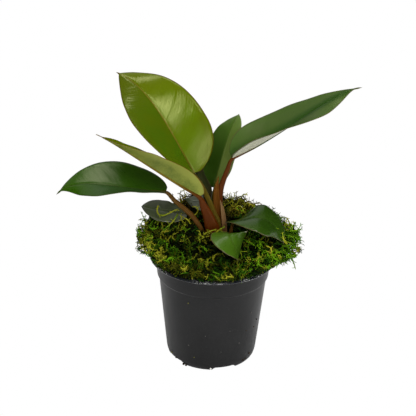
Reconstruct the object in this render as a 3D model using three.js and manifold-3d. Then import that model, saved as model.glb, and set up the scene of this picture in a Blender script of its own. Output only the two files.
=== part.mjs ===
// A young philodendron with pointed oval leaves, in a thin black nursery pot with moss over its soil.
// Millimetres, +Z up. The origin is the middle of the pot's foot, on the ground. -Y is the front.
import * as THREE from 'three';
import { mergeVertices } from 'three/addons/utils/BufferGeometryUtils.js';
import Module from 'manifold-3d';

const wasm = await Module();
wasm.setup();

// Clear space between two pieces that lie against each other
const GAP = 0.3;
// The midrib's own clearance, a little more because the blade above it curves between its points
const RIB_GAP = 0.5;
// An overlap with a neighbour's clear space that is too small to cut away, in cubic millimetres
const TOUCH = 0.001;

// Pot: a thin cup, 93 high and 107 across its lip, that widens to a stepped band and a flared lip
const POT = {
  height: 92.9,
  lipRadius: 53.5,
  lipThickness: 1.2,
  rimInnerRadius: 47.2,
  bandTopRadius: 48.2,
  bandTopHeight: 89.8,
  bandFootRadius: 47.45,
  bandFootHeight: 75.3,
  wallTopRadius: 45.87,
  wallFootRadius: 38.97,
  wallFootHeight: 7.2,
  footRadius: 36.1,
  footRingWidth: 2.5,
  footRingSlope: 0.3,
  wall: 1.2,
  footRound: [[37.6, 1.4], [38.4, 3.6]],
  lipFlare: [49.4, 91.2],
  lipRound: 0.7,
  rimRound: 1.2,
  stepRise: 1.6,
  gutterHeight: 2.7,
  gutterInnerRadius: 25,
  gutterWallSlope: 0.1,
  discRadius: 24,
  sides: 36,
};
// Five low arches let water out under the foot ring, and each has a drain hole behind it
const DRAIN = {
  angles: [18, 90, 162, 234, 306],
  archWidth: 21,
  archHeight: 2.7,
  archShoulder: 5,
  archCorner: 1.5,
  archFrom: 31.5,
  archDepth: 9,
  holeRadius: 3,
  holeAt: 29,
  holeLength: 8,
};

// Soil fills the pot to just under the lip, and the crown stands in a plain hole in it
const SOIL = { top: 86, clearance: 0.5, edgeRound: 2, footRise: 1, sides: 18 };
const CROWN = { x: 3.5, y: 0, foot: 56, top: 99.5, footRadius: 5, radius: 10, taperHeight: 22, edgeRound: 2 };

// Leaf blades, thinner at the margin than over the midrib
const BLADE = {
  middleThickness: 1.1,
  marginThickness: 0.7,
  dripHalfWidth: 0.03,
  lobeAcross: 1.6,
  lobeAlong: 4,
};

// Each leaf: where its midrib starts, how it rises and reaches, and its tip, then the half width, where
// along the midrib it is widest, how far each half folds up (degrees at base, middle and tip), how each
// half curls on outward, how the blade rolls about its midrib, how far the base lobes reach back, how full
// and how pointed its tip is, and the share of the length that is the thin drip tip. The stalk's points run
// up from the crown, each with its half width and half depth.
const LEAVES = {
  upright_left: {
    midrib: [[-17.5, 11.3, 161.2], [-36.4, 7.3, 198.6], [-54.8, 22, 233.7], [-82.9, 34.6, 239.9]],
    halfWidth: 31.5, widest: 0.3, fold: [33, 15, -13], curl: [17, 5, -19], roll: [-36, -34, -22],
    lobe: 1.9, tipShape: 1.1, tipTaper: 0.74, drip: 0.03, stations: 15, color: 0x54710a,
    stalk: [[4.5, -1.5, 100, 2.6, 2.2], [3.5, -1, 121, 2.5, 2], [0, 0, 130, 2.3, 2], [-4, 2.5, 139.5, 2.2, 2],
      [-7.5, 5, 146, 2.1, 2], [-12.5, 8, 154, 2.1, 2]],
    ribRadius: 1.9, stalkColor: 0x6b5a1c,
  },
  folded_left: {
    midrib: [[-11.6, -9, 149.4], [-47.2, -17.6, 174.1], [-78.8, -27, 202.7], [-92.9, -34.2, 211.4]],
    halfWidth: 16.7, widest: 0.29, fold: [71, 32, 12], curl: [0, 0, 0], roll: [10, 15, -15],
    lobe: 1.8, tipShape: 1.19, tipTaper: 1.09, drip: 0.09, stations: 15, color: 0x73822f,
    stalk: [[0.2, -5.5, 100, 5.4, 2.4], [-1.1, -6.5, 118, 6.1, 2.4], [-2.8, -7, 124.5, 5.5, 2.4],
      [-5.5, -7.6, 133, 4.4, 2.3], [-9, -8.4, 141, 3.2, 2.2]],
    ribRadius: 1.9, stalkColor: 0x6c3216,
  },
  low_left: {
    midrib: [[-39.8, -5.9, 152.1], [-71.8, -3.9, 150.2], [-113.9, -9.5, 169.2], [-128.4, -15.5, 151.2]],
    halfWidth: 25.6, widest: 0.43, fold: [20, 17, -15], curl: [2, -1, -24], roll: [-5, -13, -46],
    lobe: 1.3, tipShape: 0.92, tipTaper: 1.41, drip: 0.04, stations: 15, color: 0x1d3f08,
    stalk: [[-4.5, -2, 100, 1.8, 1.8], [-8.5, -4, 112, 1.9, 1.8], [-12.5, -4.5, 121.5, 2.1, 1.9],
      [-19.3, -3.5, 130.5, 2.2, 2], [-26, -3.4, 136.8, 2.1, 1.9], [-33, -4, 143.2, 1.9, 1.8]],
    ribRadius: 1.5, stalkColor: 0x6b4526,
  },
  upright_back: {
    midrib: [[-0.4, 16.8, 146.6], [4.8, 24.1, 168.2], [12.2, 29.1, 202.6], [19.2, 40.8, 203.7]],
    halfWidth: 18.7, widest: 0.35, fold: [26, 8, -2], curl: [0, 0, 0], roll: [-4, -6, -22],
    lobe: 1.2, tipShape: 1.14, tipTaper: 1.01, drip: 0.02, stations: 13, color: 0x2b5220,
    stalk: [[-0.5, 6, 100, 1.8, 1.8], [-1, 10, 120, 1.8, 1.8], [-1, 14, 136, 1.7, 1.7]],
    ribRadius: 1.5, stalkColor: 0x4c4a1f,
  },
  long_right: {
    midrib: [[13.3, 2.8, 179.2], [54.2, 11.7, 194.5], [94.7, 19, 235.6], [117.9, 25, 234.4]],
    halfWidth: 23.7, widest: 0.25, fold: [47, 12, -33], curl: [0, 0, 0], roll: [4, 4, 53],
    lobe: 1, tipShape: 1.26, tipTaper: 1.81, drip: 0.045, stations: 16, color: 0x2c5520,
    stalk: [[5, 5.5, 100, 2.6, 2.2], [5.2, 5.5, 118, 2.6, 2.2], [4.7, 5, 129, 2.8, 2.1],
      [4, 4.6, 140, 2.8, 2.1], [4.8, 4.1, 151, 2.6, 2], [7.2, 3.6, 160, 2.2, 2], [10.2, 3, 169.5, 1.9, 1.9]],
    ribRadius: 1.4, stalkColor: 0x6a2c18,
  },
  low_right: {
    midrib: [[16.1, -1.7, 123.8], [38.5, -17.6, 140.3], [51.6, -4.1, 128.6], [58.2, -13.5, 109.5]],
    halfWidth: 18.2, widest: 0.41, fold: [14, 10, 6], curl: [-11, -24, -15], roll: [-21, 19, 12],
    lobe: 6.6, tipShape: 1.15, tipTaper: 1, drip: 0.03, stations: 12, color: 0x2c4f1c,
    stalk: [[11, -3.5, 100, 1.5, 1.5], [11.5, -3.5, 108, 1.5, 1.5], [14, -3.2, 115, 1.5, 1.5]],
    ribRadius: 1.2, stalkColor: 0x4a2415,
  },
  front_small: {
    midrib: [[14, -12, 118], [8, -24, 126], [23, -27, 109], [20, -26, 99]],
    halfWidth: 15.8, widest: 0.31, fold: [9, -3, 0], curl: [0, 0, 0], roll: [4, 7, 0],
    lobe: 3.2, tipShape: 1.15, tipTaper: 1.05, drip: 0.04, stations: 10, color: 0x31570f,
    stalk: [[7.5, -8, 100, 1.4, 1.4], [9.5, -9, 108, 1.4, 1.4], [12, -10, 114, 1.4, 1.4]],
    ribRadius: 1, stalkColor: 0x4a2415,
  },
  moss_left: {
    midrib: [[-24, 9, 125], [-34, 5, 127], [-60, 5, 133], [-61, 5, 133]],
    halfWidth: 12.6, widest: 0.4, fold: [9, 7, 4], curl: [-11, -14, -1], roll: [-3, -21, -2],
    lobe: 1.7, tipShape: 1.15, tipTaper: 1.05, drip: 0.03, stations: 10, color: 0x2f4030,
    stalk: [[-4, 4.8, 100, 1.4, 1.4], [-9, 4.5, 112, 1.4, 1.4], [-15, 5, 119, 1.4, 1.4]],
    ribRadius: 1, stalkColor: 0x5a3a1e,
  },
  behind_crown: {
    midrib: [[0, 22, 127], [2, 22, 134], [-19, 26, 126], [-26, 24, 133]],
    halfWidth: 13.6, widest: 0.39, fold: [16, 2, 4], curl: [0, 0, 0], roll: [-23, -13, -6],
    lobe: 2.1, tipShape: 1.15, tipTaper: 1.05, drip: 0.03, stations: 10, color: 0x5c6660,
    stalk: [[3.5, 9.2, 100, 1.4, 1.4], [3.5, 14, 112, 1.4, 1.4], [3, 18, 121, 1.4, 1.4]],
    ribRadius: 1, stalkColor: 0x4f4a26,
  },
};

// Papery sheaths that wrapped young leaves, now standing pointed against the stalks. Each is a flat
// strip through points of [x, y, z, half width, half depth].
const SHEATHS = {
  sheath_orange: {
    route: [[4, 2.2, 104, 2.4, 0.5], [4, 2.2, 122, 2.6, 0.5], [1.8, 1.8, 140, 2.6, 0.5],
      [1.4, 1.3, 152, 1.9, 0.45], [2.8, 1.2, 163, 0.5, 0.4]],
    color: 0x8a4a1a,
  },
  sheath_pink: {
    route: [[10, 0.5, 104, 1.6, 0.5], [9.5, 0.5, 112, 2, 0.5], [8.2, 0.8, 124, 1.9, 0.5],
      [6.8, 1, 134, 1.4, 0.45], [4.8, 1.5, 141.5, 0.5, 0.4]],
    color: 0x8a5238,
  },
  sheath_back: {
    route: [[-4, 8.4, 104, 2, 0.5], [-6.2, 9, 122, 2.5, 0.5], [-6, 10.6, 138, 3.1, 0.5],
      [-6.9, 12.4, 147, 3.3, 0.5], [-10.2, 14.7, 154, 3, 0.5], [-12.9, 17, 160.5, 2.4, 0.45],
      [-12.9, 18.5, 166.5, 0.5, 0.4]],
    color: 0x2c3218,
  },
};

// Moss: a loose ring of four clumps packed round the stalks. It ends at the lip in front and stands out
// past it on both sides. It is banked up against the stalks and higher still behind, with one handful
// pushed up beside them and a hollow under the low leaves. Each clump has a lumpy core, and three-sided
// strands larger than life.
const MOSS = {
  innerRadius: 6,
  footRadius: 14.5,
  rimClearance: 0.8,
  frontReach: 48,
  backReach: 56,
  rightSwell: 18,
  leftSwell: 9,
  swellPower: 8,
  frontHeight: 97,
  banks: [{ from: -30, to: 2, rise: 24 }, { from: 5, to: 42, rise: 4 }],
  heaps: [{ x: -15, y: -5, rise: 8, spread: 90 }, { x: 17, y: -9, rise: -9, spread: 110 }],
  domePower: 5,
  domeBlunt: 0.6,
  lumpHeight: 2.2,
  underside: { inFromEdge: 1, rise: 0.4, inFromLip: 4 },
  ringSteps: 26,
  radialSteps: 4,
  radialEase: 0.8,
};
// A strand: its radius, how much it tapers, how far its root is buried, how it droops, and how far and how
// fast it curls. Every third one grows from the clump's edge, and the others from anywhere on its top.
const STRAND = {
  radius: 1.15,
  taper: 0.45,
  buried: 0.12,
  droop: 0.22,
  curl: [0.2, 0.34],
  swing: [2.4, 4.2],
  segments: 3,
  edgeShare: 0.97,
  topShare: [0.15, 0.93],
  edgeTurn: [-0.9, 0.9],
  topTurn: [-2.6, 2.6],
  edgeLift: [-0.4, 0.6],
  topLift: [0.4, 0.9],
};
// Where the moss turns down inside the lip onto the soil
const RIM_INSIDE = POT.rimInnerRadius - MOSS.rimClearance;
const CLUMPS = {
  moss_front: { from: -52, to: 52, edgeHeight: 95, strands: 54, length: [9, 15], color: 0x5c6414, seed: 11 },
  moss_right: { from: 52, to: 128, edgeHeight: 100, strands: 62, length: [13, 22], color: 0x2f5a10, seed: 23 },
  moss_back: { from: 128, to: 232, edgeHeight: 102, strands: 60, length: [12, 20], color: 0x4a4f12, seed: 37 },
  moss_left: { from: 232, to: 308, edgeHeight: 98, strands: 58, length: [11, 19], color: 0x34601a, seed: 53 },
};

const Z_UP = new THREE.Vector3(0, 0, 1);
const Y_BACK = new THREE.Vector3(0, 1, 0);
const radians = THREE.MathUtils.degToRad;
const vector = (xyz) => new THREE.Vector3(xyz[0], xyz[1], xyz[2]);

// A value that is given at the base, the middle and the tip
function between([base, middle, tip], s) {
  return base * (1 - s) * (1 - 2 * s) + 4 * middle * s * (1 - s) + tip * s * (2 * s - 1);
}

// The same draws every time, for places that nature leaves to chance
function seededDraw(seed) {
  let state = seed * 7919 + 17;
  return (low, high) => {
    state = (state * 1103515245 + 12345) % 2147483648;
    return low + ((high - low) * state) / 2147483648;
  };
}

// Closed geometry from points and triangles, turned so that its faces point out
function closedGeometry(points, faces) {
  let volume = 0;
  for (const [a, b, c] of faces) {
    volume += points[a].dot(new THREE.Vector3().crossVectors(points[b], points[c]));
  }
  const geometry = new THREE.BufferGeometry();
  const turned = volume < 0 ? faces.map(([a, b, c]) => [a, c, b]) : faces;
  geometry.setAttribute('position', new THREE.Float32BufferAttribute(points.flatMap((p) => p.toArray()), 3));
  geometry.setIndex(turned.flat());
  return geometry;
}

function solidFrom(geometry) {
  const bare = geometry.clone();
  bare.deleteAttribute('normal');
  bare.deleteAttribute('uv');
  const merged = mergeVertices(bare, 1e-4);
  return new wasm.Manifold(new wasm.Mesh({
    numProp: 3,
    vertProperties: new Float32Array(merged.attributes.position.array),
    triVerts: new Uint32Array(merged.index.array),
  }));
}

// The largest body of a solid, with any cut-off scrap dropped, as geometry
function geometryFrom(solid) {
  const bodies = solid.decompose().sort((a, b) => b.volume() - a.volume());
  const mesh = bodies[0].getMesh();
  const geometry = new THREE.BufferGeometry();
  geometry.setAttribute('position', new THREE.BufferAttribute(mesh.vertProperties, 3));
  geometry.setIndex(new THREE.BufferAttribute(mesh.triVerts, 1));
  geometry.computeVertexNormals();
  return geometry;
}

// A turned shape from its profile of radii and heights, which closes on the axis
function turned(profile, sides) {
  const lathe = new THREE.LatheGeometry(profile.map(([r, z]) => new THREE.Vector2(r, z)), sides);
  lathe.rotateX(Math.PI / 2);
  const position = lathe.attributes.position;
  const points = [];
  for (let i = 0; i < position.count; i++) points.push(new THREE.Vector3().fromBufferAttribute(position, i));
  const faces = [];
  for (let i = 0; i < lathe.index.count; i += 3) {
    faces.push([lathe.index.getX(i), lathe.index.getX(i + 1), lathe.index.getX(i + 2)]);
  }
  return closedGeometry(points, faces);
}

// The leaf's own directions at a place along its midrib: ahead, its upper face and its right-hand side
function leafDirections(leaf, s) {
  const curve = new THREE.CubicBezierCurve3(...leaf.midrib.map(vector));
  const middle = curve.getPoint(s);
  const ahead = curve.getTangent(s);
  const up = Z_UP.clone().addScaledVector(ahead, -ahead.z).normalize();
  const side = new THREE.Vector3().crossVectors(ahead, up);
  const roll = radians(between(leaf.roll, s));
  const face = up.clone().multiplyScalar(Math.cos(roll)).addScaledVector(side, Math.sin(roll));
  const right = side.clone().multiplyScalar(Math.cos(roll)).addScaledVector(up, -Math.sin(roll));
  return { middle, ahead, face, right };
}

// Half width as a share of the widest: a round base, a long taper, then the thin drip tip
function bladeOutline(leaf, s) {
  const along = Math.min(s / (1 - leaf.drip), 1);
  const drip = BLADE.dripHalfWidth * Math.min((1 - s) / leaf.drip, 1);
  if (along < leaf.widest) return Math.max(Math.sqrt(1 - (1 - along / leaf.widest) ** 2), drip);
  const beyond = (along - leaf.widest) / (1 - leaf.widest);
  return Math.max(Math.cos((Math.PI / 2) * beyond ** leaf.tipShape) ** leaf.tipTaper, drip);
}

// A point of the blade's middle surface, with the direction square to it. t runs from -1, the left
// margin, through the midrib to 1, the right margin.
function bladePoint(leaf, s, t, grow) {
  const { middle, ahead, face, right } = leafDirections(leaf, s);
  const out = Math.abs(t);
  const hand = t < 0 ? -1 : 1;
  const fold = radians(between(leaf.fold, s));
  const curl = radians(between(leaf.curl, s)) || 1e-4;
  const width = leaf.halfWidth * bladeOutline(leaf, s) + grow;
  const sideways = ((Math.sin(fold + curl * out) - Math.sin(fold)) / curl) * width;
  const raised = ((Math.cos(fold) - Math.cos(fold + curl * out)) / curl) * width;
  const back = leaf.lobe * out ** BLADE.lobeAcross * (1 - s) ** BLADE.lobeAlong;
  const point = middle.clone().addScaledVector(right, hand * sideways).addScaledVector(face, raised);
  point.addScaledVector(ahead, -back);
  const lean = fold + curl * out;
  const square = face.clone().multiplyScalar(Math.cos(lean)).addScaledVector(right, -hand * Math.sin(lean));
  if (out === 0) square.copy(face).divideScalar(Math.cos(fold));
  return { point, square };
}

// A closed thin blade: rows of upper and lower points that meet in one column at the base and the tip
function bladeGeometry(leaf, middleThickness, marginThickness, across, grow = 0) {
  const points = [];
  const faces = [];
  const columns = across.length;
  const rows = [];
  for (let i = 1; i < leaf.stations; i++) {
    const s = 0.5 - 0.5 * Math.cos((Math.PI * i) / leaf.stations);
    const row = { upper: [], lower: [] };
    for (const t of across) {
      const { point, square } = bladePoint(leaf, s, t, grow);
      const thickness = middleThickness + (marginThickness - middleThickness) * Math.abs(t);
      const half = thickness / 2 + grow;
      row.upper.push(points.push(point.clone().addScaledVector(square, half)) - 1);
      row.lower.push(points.push(point.clone().addScaledVector(square, -half)) - 1);
    }
    rows.push(row);
  }
  const endColumn = (s) => {
    const { middle, ahead, face } = leafDirections(leaf, s);
    const end = middle.clone().addScaledVector(ahead, s === 0 ? -grow : grow);
    const half = marginThickness / 2 + grow;
    const upper = points.push(end.clone().addScaledVector(face, half)) - 1;
    const lower = points.push(end.clone().addScaledVector(face, -half)) - 1;
    return { upper: across.map(() => upper), lower: across.map(() => lower) };
  };
  rows.unshift(endColumn(0));
  rows.push(endColumn(1));
  const triangle = (a, b, c) => {
    if (a !== b && b !== c && c !== a) faces.push([a, b, c]);
  };
  const quad = (a, b, c, d) => {
    triangle(a, b, c);
    triangle(a, c, d);
  };
  for (let i = 0; i + 1 < rows.length; i++) {
    const here = rows[i];
    const next = rows[i + 1];
    for (let j = 0; j + 1 < columns; j++) {
      quad(here.upper[j], here.upper[j + 1], next.upper[j + 1], next.upper[j]);
      triangle(here.lower[j], next.lower[j + 1], here.lower[j + 1]);
      triangle(here.lower[j], next.lower[j], next.lower[j + 1]);
    }
    const last = columns - 1;
    quad(here.lower[0], here.upper[0], next.upper[0], next.lower[0]);
    quad(here.upper[last], here.lower[last], next.lower[last], next.upper[last]);
  }
  return closedGeometry(points, faces);
}

// A closed tapering tube through points of [x, y, z, half width, half depth]
function tubeGeometry(route, sides, steps, grow = 0, pointed = false) {
  const curve = new THREE.CatmullRomCurve3(route.map(vector), false, 'centripetal');
  const points = [];
  const faces = [];
  for (let i = 0; i <= steps; i++) {
    const along = i / steps;
    const place = along * (route.length - 1);
    const before = Math.min(Math.floor(place), route.length - 2);
    const share = place - before;
    const size = (k) => route[before][k] * (1 - share) + route[before + 1][k] * share + grow;
    const middle = curve.getPoint(along);
    const ahead = curve.getTangent(along);
    if (i === 0) middle.addScaledVector(ahead, -grow);
    if (i === steps) middle.addScaledVector(ahead, grow);
    const wide = new THREE.Vector3().crossVectors(ahead, Y_BACK).normalize();
    const deep = new THREE.Vector3().crossVectors(wide, ahead);
    const last = pointed && i === steps;
    for (let j = 0; j < (last ? 1 : sides); j++) {
      const turn = (2 * Math.PI * j) / sides;
      const offset = wide.clone().multiplyScalar(Math.cos(turn) * size(3));
      offset.addScaledVector(deep, Math.sin(turn) * size(4));
      points.push(last ? middle : middle.clone().add(offset));
    }
  }
  for (let i = 0; i < steps; i++) {
    for (let j = 0; j < sides; j++) {
      const a = i * sides + j;
      const b = i * sides + ((j + 1) % sides);
      if (pointed && i === steps - 1) faces.push([a, b, steps * sides]);
      else faces.push([a, b, b + sides], [a, b + sides, a + sides]);
    }
  }
  for (let j = 1; j + 1 < sides; j++) {
    faces.push([0, j + 1, j]);
    if (!pointed) faces.push([steps * sides, steps * sides + j, steps * sides + j + 1]);
  }
  return closedGeometry(points, faces);
}

function potGeometry() {
  const p = POT;
  const floorTop = p.gutterHeight + p.wall;
  const profile = [
    [0, 0],
    [p.discRadius, 0],
    [p.gutterInnerRadius, p.gutterHeight],
    [p.footRadius - p.footRingWidth, p.gutterHeight],
    [p.footRadius - p.footRingWidth + p.footRingSlope, 0],
    [p.footRadius, 0],
    ...p.footRound,
    [p.wallFootRadius, p.wallFootHeight],
    [p.wallTopRadius, p.bandFootHeight],
    [p.bandFootRadius, p.bandFootHeight],
    [p.bandTopRadius, p.bandTopHeight],
    p.lipFlare,
    [p.lipRadius - p.lipRound, p.height - p.lipThickness],
    [p.lipRadius, p.height - p.lipThickness / 2],
    [p.lipRadius - p.lipRound, p.height],
    [p.rimInnerRadius + p.rimRound, p.height],
    [p.rimInnerRadius, p.height - p.rimRound],
    [p.bandFootRadius - p.wall, p.bandFootHeight + p.stepRise],
    [p.wallTopRadius - p.wall, p.bandFootHeight],
    [p.wallFootRadius - p.wall, p.wallFootHeight],
    [p.wallFootRadius - 2 * p.wall, floorTop],
    [p.gutterInnerRadius + p.wall - p.gutterWallSlope, floorTop],
    [p.discRadius + p.gutterWallSlope, p.wall],
    [0, p.wall],
  ];
  let solid = solidFrom(turned(profile, p.sides));
  for (const angle of DRAIN.angles) {
    const half = DRAIN.archWidth / 2;
    const arch = new THREE.Shape();
    arch.moveTo(-half, -1);
    arch.lineTo(half, -1);
    const shoulder = half - DRAIN.archShoulder;
    const corner = half - DRAIN.archCorner;
    arch.quadraticCurveTo(corner, DRAIN.archHeight, shoulder, DRAIN.archHeight);
    arch.lineTo(-shoulder, DRAIN.archHeight);
    arch.quadraticCurveTo(-corner, DRAIN.archHeight, -half, -1);
    const extrude = { depth: DRAIN.archDepth, bevelEnabled: false, curveSegments: 4 };
    const tunnel = new THREE.ExtrudeGeometry(arch, extrude);
    tunnel.rotateX(Math.PI / 2);
    tunnel.translate(0, -DRAIN.archFrom, 0);
    tunnel.rotateZ(radians(angle));
    const hole = new THREE.CylinderGeometry(DRAIN.holeRadius, DRAIN.holeRadius, DRAIN.holeLength, 10);
    hole.rotateX(Math.PI / 2);
    hole.translate(0, -DRAIN.holeAt, p.gutterHeight);
    hole.rotateZ(radians(angle));
    solid = solid.subtract(solidFrom(tunnel)).subtract(solidFrom(hole));
  }
  return solid;
}

function crownSolid(grow = 0) {
  const c = CROWN;
  const shape = turned([
    [0, c.foot - grow],
    [c.footRadius + grow, c.foot - grow],
    [c.radius + grow, c.foot + c.taperHeight],
    [c.radius + grow, c.top - c.edgeRound + grow],
    [c.radius - c.edgeRound + grow, c.top + grow],
    [0, c.top + grow],
  ], 16);
  shape.translate(c.x, c.y, 0);
  return solidFrom(shape);
}

function soilSolid() {
  const p = POT;
  const c = SOIL.clearance;
  const inset = p.wall + c;
  const floorTop = p.gutterHeight + p.wall + c;
  const shape = turned([
    [0, p.wall + c],
    [p.discRadius - c, p.wall + c],
    [p.discRadius + p.wall + c, floorTop],
    [p.wallFootRadius - inset - p.wall, floorTop],
    [p.wallFootRadius - inset, p.wallFootHeight + SOIL.footRise],
    [p.wallTopRadius - inset, p.bandFootHeight],
    [p.bandFootRadius - inset, p.bandFootHeight + p.stepRise + c],
    [p.rimInnerRadius - inset, SOIL.top - SOIL.edgeRound],
    [p.rimInnerRadius - inset - SOIL.edgeRound, SOIL.top],
    [0, SOIL.top],
  ], SOIL.sides);
  return solidFrom(shape).subtract(crownSolid(GAP));
}

// The stalk bends under the base of its blade and runs on below it as the midrib, thinner to the tip
const JOINT = { behind: 1.5, below: 3 };
const RIB = { places: [0.08, 0.2, 0.34, 0.5, 0.66, 0.82, 0.93], taper: 0.72, taperPower: 0.8 };

function stalkRoute(leaf) {
  const base = leafDirections(leaf, 0);
  const joint = base.middle.clone().addScaledVector(base.ahead, -JOINT.behind);
  joint.addScaledVector(base.face, -JOINT.below);
  const route = [...leaf.stalk, [...joint.toArray(), leaf.ribRadius, leaf.ribRadius]];
  for (const s of RIB.places) {
    const { middle, face } = leafDirections(leaf, s);
    const radius = leaf.ribRadius * (1 - RIB.taper * s ** RIB.taperPower);
    const blade = (BLADE.middleThickness / 2) / Math.cos(radians(between(leaf.fold, s)));
    middle.addScaledVector(face, -(blade + RIB_GAP + radius));
    route.push([...middle.toArray(), radius, radius]);
  }
  return route;
}

const ACROSS_LARGE = [-1, -0.65, -0.3, 0, 0.3, 0.65, 1];
const ACROSS_SMALL = [-1, -0.5, 0, 0.5, 1];

function bladeSolid(leaf, grow = 0) {
  const across = leaf.stations > 12 ? ACROSS_LARGE : ACROSS_SMALL;
  return solidFrom(bladeGeometry(leaf, BLADE.middleThickness, BLADE.marginThickness, across, grow));
}

function stalkSolid(leaf, grow = 0) {
  const route = stalkRoute(leaf);
  return solidFrom(tubeGeometry(route, 6, route.length + 3, grow));
}

function sheathSolid(sheath, grow = 0) {
  return solidFrom(tubeGeometry(sheath.route, 6, 8, grow, true));
}

// How far the moss reaches from the crown, and how high its top stands
const facing = (angle) => new THREE.Vector3(Math.sin(angle), -Math.cos(angle), 0);

function mossReach(angle) {
  const backward = (MOSS.backReach - MOSS.frontReach) * Math.sin(angle / 2) ** 2;
  const swell = Math.sin(angle) > 0 ? MOSS.rightSwell : MOSS.leftSwell;
  return MOSS.frontReach + backward + swell * Math.sin(angle) ** MOSS.swellPower;
}

function mossTop(x, y, share, edgeHeight) {
  let height = MOSS.frontHeight;
  for (const bank of MOSS.banks) height += bank.rise * THREE.MathUtils.smoothstep(y, bank.from, bank.to);
  for (const heap of MOSS.heaps) {
    height += heap.rise * Math.exp(-((x - heap.x) ** 2 + (y - heap.y) ** 2) / heap.spread);
  }
  const lumps = Math.sin(x * 0.31 + 1) * Math.cos(y * 0.27) + 0.6 * Math.sin(x * 0.53 - y * 0.47);
  const dome = Math.max(1 - share ** MOSS.domePower, 0) ** MOSS.domeBlunt;
  return edgeHeight + (height - edgeHeight) * dome + MOSS.lumpHeight * lumps * Math.min(dome * 2, 1);
}

// A place on the moss ring's top, at an angle round the crown and a share of the way out
function mossPlace(angle, share, edgeHeight) {
  const radius = MOSS.innerRadius + (mossReach(angle) - MOSS.innerRadius) * share;
  const place = facing(angle).multiplyScalar(radius);
  place.z = mossTop(place.x, place.y, share, edgeHeight);
  return place;
}

function mossCore(edgeHeight) {
  const points = [];
  const faces = [];
  const overLip = POT.height + GAP;
  const top = MOSS.radialSteps;
  let loop = 0;
  for (let i = 0; i < MOSS.ringSteps; i++) {
    const angle = (2 * Math.PI * i) / MOSS.ringSteps;
    const section = [];
    for (let j = 0; j <= top; j++) section.push(mossPlace(angle, (j / top) ** MOSS.radialEase, edgeHeight));
    const reach = mossReach(angle);
    const { inFromEdge, rise, inFromLip } = MOSS.underside;
    const under = [
      [reach - inFromEdge, overLip + rise * (edgeHeight - overLip)],
      [POT.lipRadius - inFromLip, overLip],
      [RIM_INSIDE, overLip],
      [RIM_INSIDE, SOIL.top + GAP],
      [MOSS.footRadius, SOIL.top + GAP],
    ];
    for (const [radius, height] of under) {
      const point = facing(angle).multiplyScalar(radius);
      point.z = height;
      section.push(point);
    }
    loop = section.length;
    points.push(...section);
  }
  for (let i = 0; i < MOSS.ringSteps; i++) {
    const next = (i + 1) % MOSS.ringSteps;
    for (let j = 0; j < loop; j++) {
      const k = (j + 1) % loop;
      faces.push([i * loop + j, next * loop + j, next * loop + k], [i * loop + j, next * loop + k, i * loop + k]);
    }
  }
  return solidFrom(closedGeometry(points, faces));
}

// One curly strand, rooted in the core and tapering to a point
function strandSolid(root, out, length, draw) {
  const route = [];
  const side = new THREE.Vector3().crossVectors(out, Z_UP).normalize();
  const turn = draw(0, 2 * Math.PI);
  const curl = draw(...STRAND.curl) * length;
  for (let i = 0; i <= STRAND.segments; i++) {
    const along = i / STRAND.segments;
    const swing = turn + along * draw(...STRAND.swing);
    const point = root.clone().addScaledVector(out, length * (along - STRAND.buried));
    point.addScaledVector(side, curl * along * Math.cos(swing));
    point.z += curl * along * Math.sin(swing) - length * STRAND.droop * along * along;
    const radius = STRAND.radius * (1 - STRAND.taper * along);
    route.push([...point.toArray(), radius, radius]);
  }
  return solidFrom(tubeGeometry(route, 3, STRAND.segments, 0, true));
}

// The upright wedge of space, seen from above, that one clump keeps to. It stands back from the next
// clump's by half the gap on each side.
function clumpSpace(from, to) {
  const half = (to - from) / 2;
  const reach = 2 * MOSS.backReach;
  const wedge = new THREE.Shape();
  wedge.moveTo(0, 0);
  wedge.lineTo(-reach * Math.sin(half), -reach * Math.cos(half));
  wedge.lineTo(0, -reach * 2);
  wedge.lineTo(reach * Math.sin(half), -reach * Math.cos(half));
  const prism = new THREE.ExtrudeGeometry(wedge, { depth: SOIL.top, bevelEnabled: false });
  prism.translate(0, -(GAP / 2) / Math.sin(half), SOIL.top - GAP);
  prism.rotateZ((from + to) / 2);
  return solidFrom(prism);
}

function clumpSolid(clump) {
  const draw = seededDraw(clump.seed);
  const from = radians(clump.from);
  const to = radians(clump.to);
  const solids = [mossCore(clump.edgeHeight)];
  for (let i = 0; i < clump.strands; i++) {
    const angle = from + ((to - from) * (i + draw(0.2, 0.8))) / clump.strands;
    const atEdge = i % 3 === 0;
    const share = atEdge ? STRAND.edgeShare : draw(...STRAND.topShare);
    const root = mossPlace(angle, share, clump.edgeHeight);
    const out = facing(angle + draw(...(atEdge ? STRAND.edgeTurn : STRAND.topTurn)));
    out.z = draw(...(atEdge ? STRAND.edgeLift : STRAND.topLift));
    solids.push(strandSolid(root, out.normalize(), draw(...clump.length), draw));
  }
  return wasm.Manifold.union(solids).intersect(clumpSpace(from, to));
}

// Assembly. Each new piece gives way to those already placed, by the gap.
const plant = new THREE.Group();
const placed = [];

function place(name, solid, grown, color, roughness) {
  let clear = solid;
  for (const other of placed) {
    if (clear.intersect(other).volume() > TOUCH) clear = clear.subtract(other);
  }
  if (grown) placed.push(grown);
  const material = new THREE.MeshStandardMaterial({ color, roughness, metalness: 0 });
  const mesh = new THREE.Mesh(geometryFrom(clear), material);
  mesh.name = name;
  plant.add(mesh);
}

place('pot', potGeometry(), null, 0x262728, 0.45);
place('crown', crownSolid(), crownSolid(GAP), 0x5b4526, 0.7);
for (const [name, leaf] of Object.entries(LEAVES)) {
  place(`blade_${name}`, bladeSolid(leaf), bladeSolid(leaf, GAP), leaf.color, 0.35);
}
for (const [name, leaf] of Object.entries(LEAVES)) {
  place(`stalk_${name}`, stalkSolid(leaf), stalkSolid(leaf, GAP), leaf.stalkColor, 0.5);
}
for (const [name, sheath] of Object.entries(SHEATHS)) {
  place(name, sheathSolid(sheath), sheathSolid(sheath, GAP), sheath.color, 0.7);
}
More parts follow.
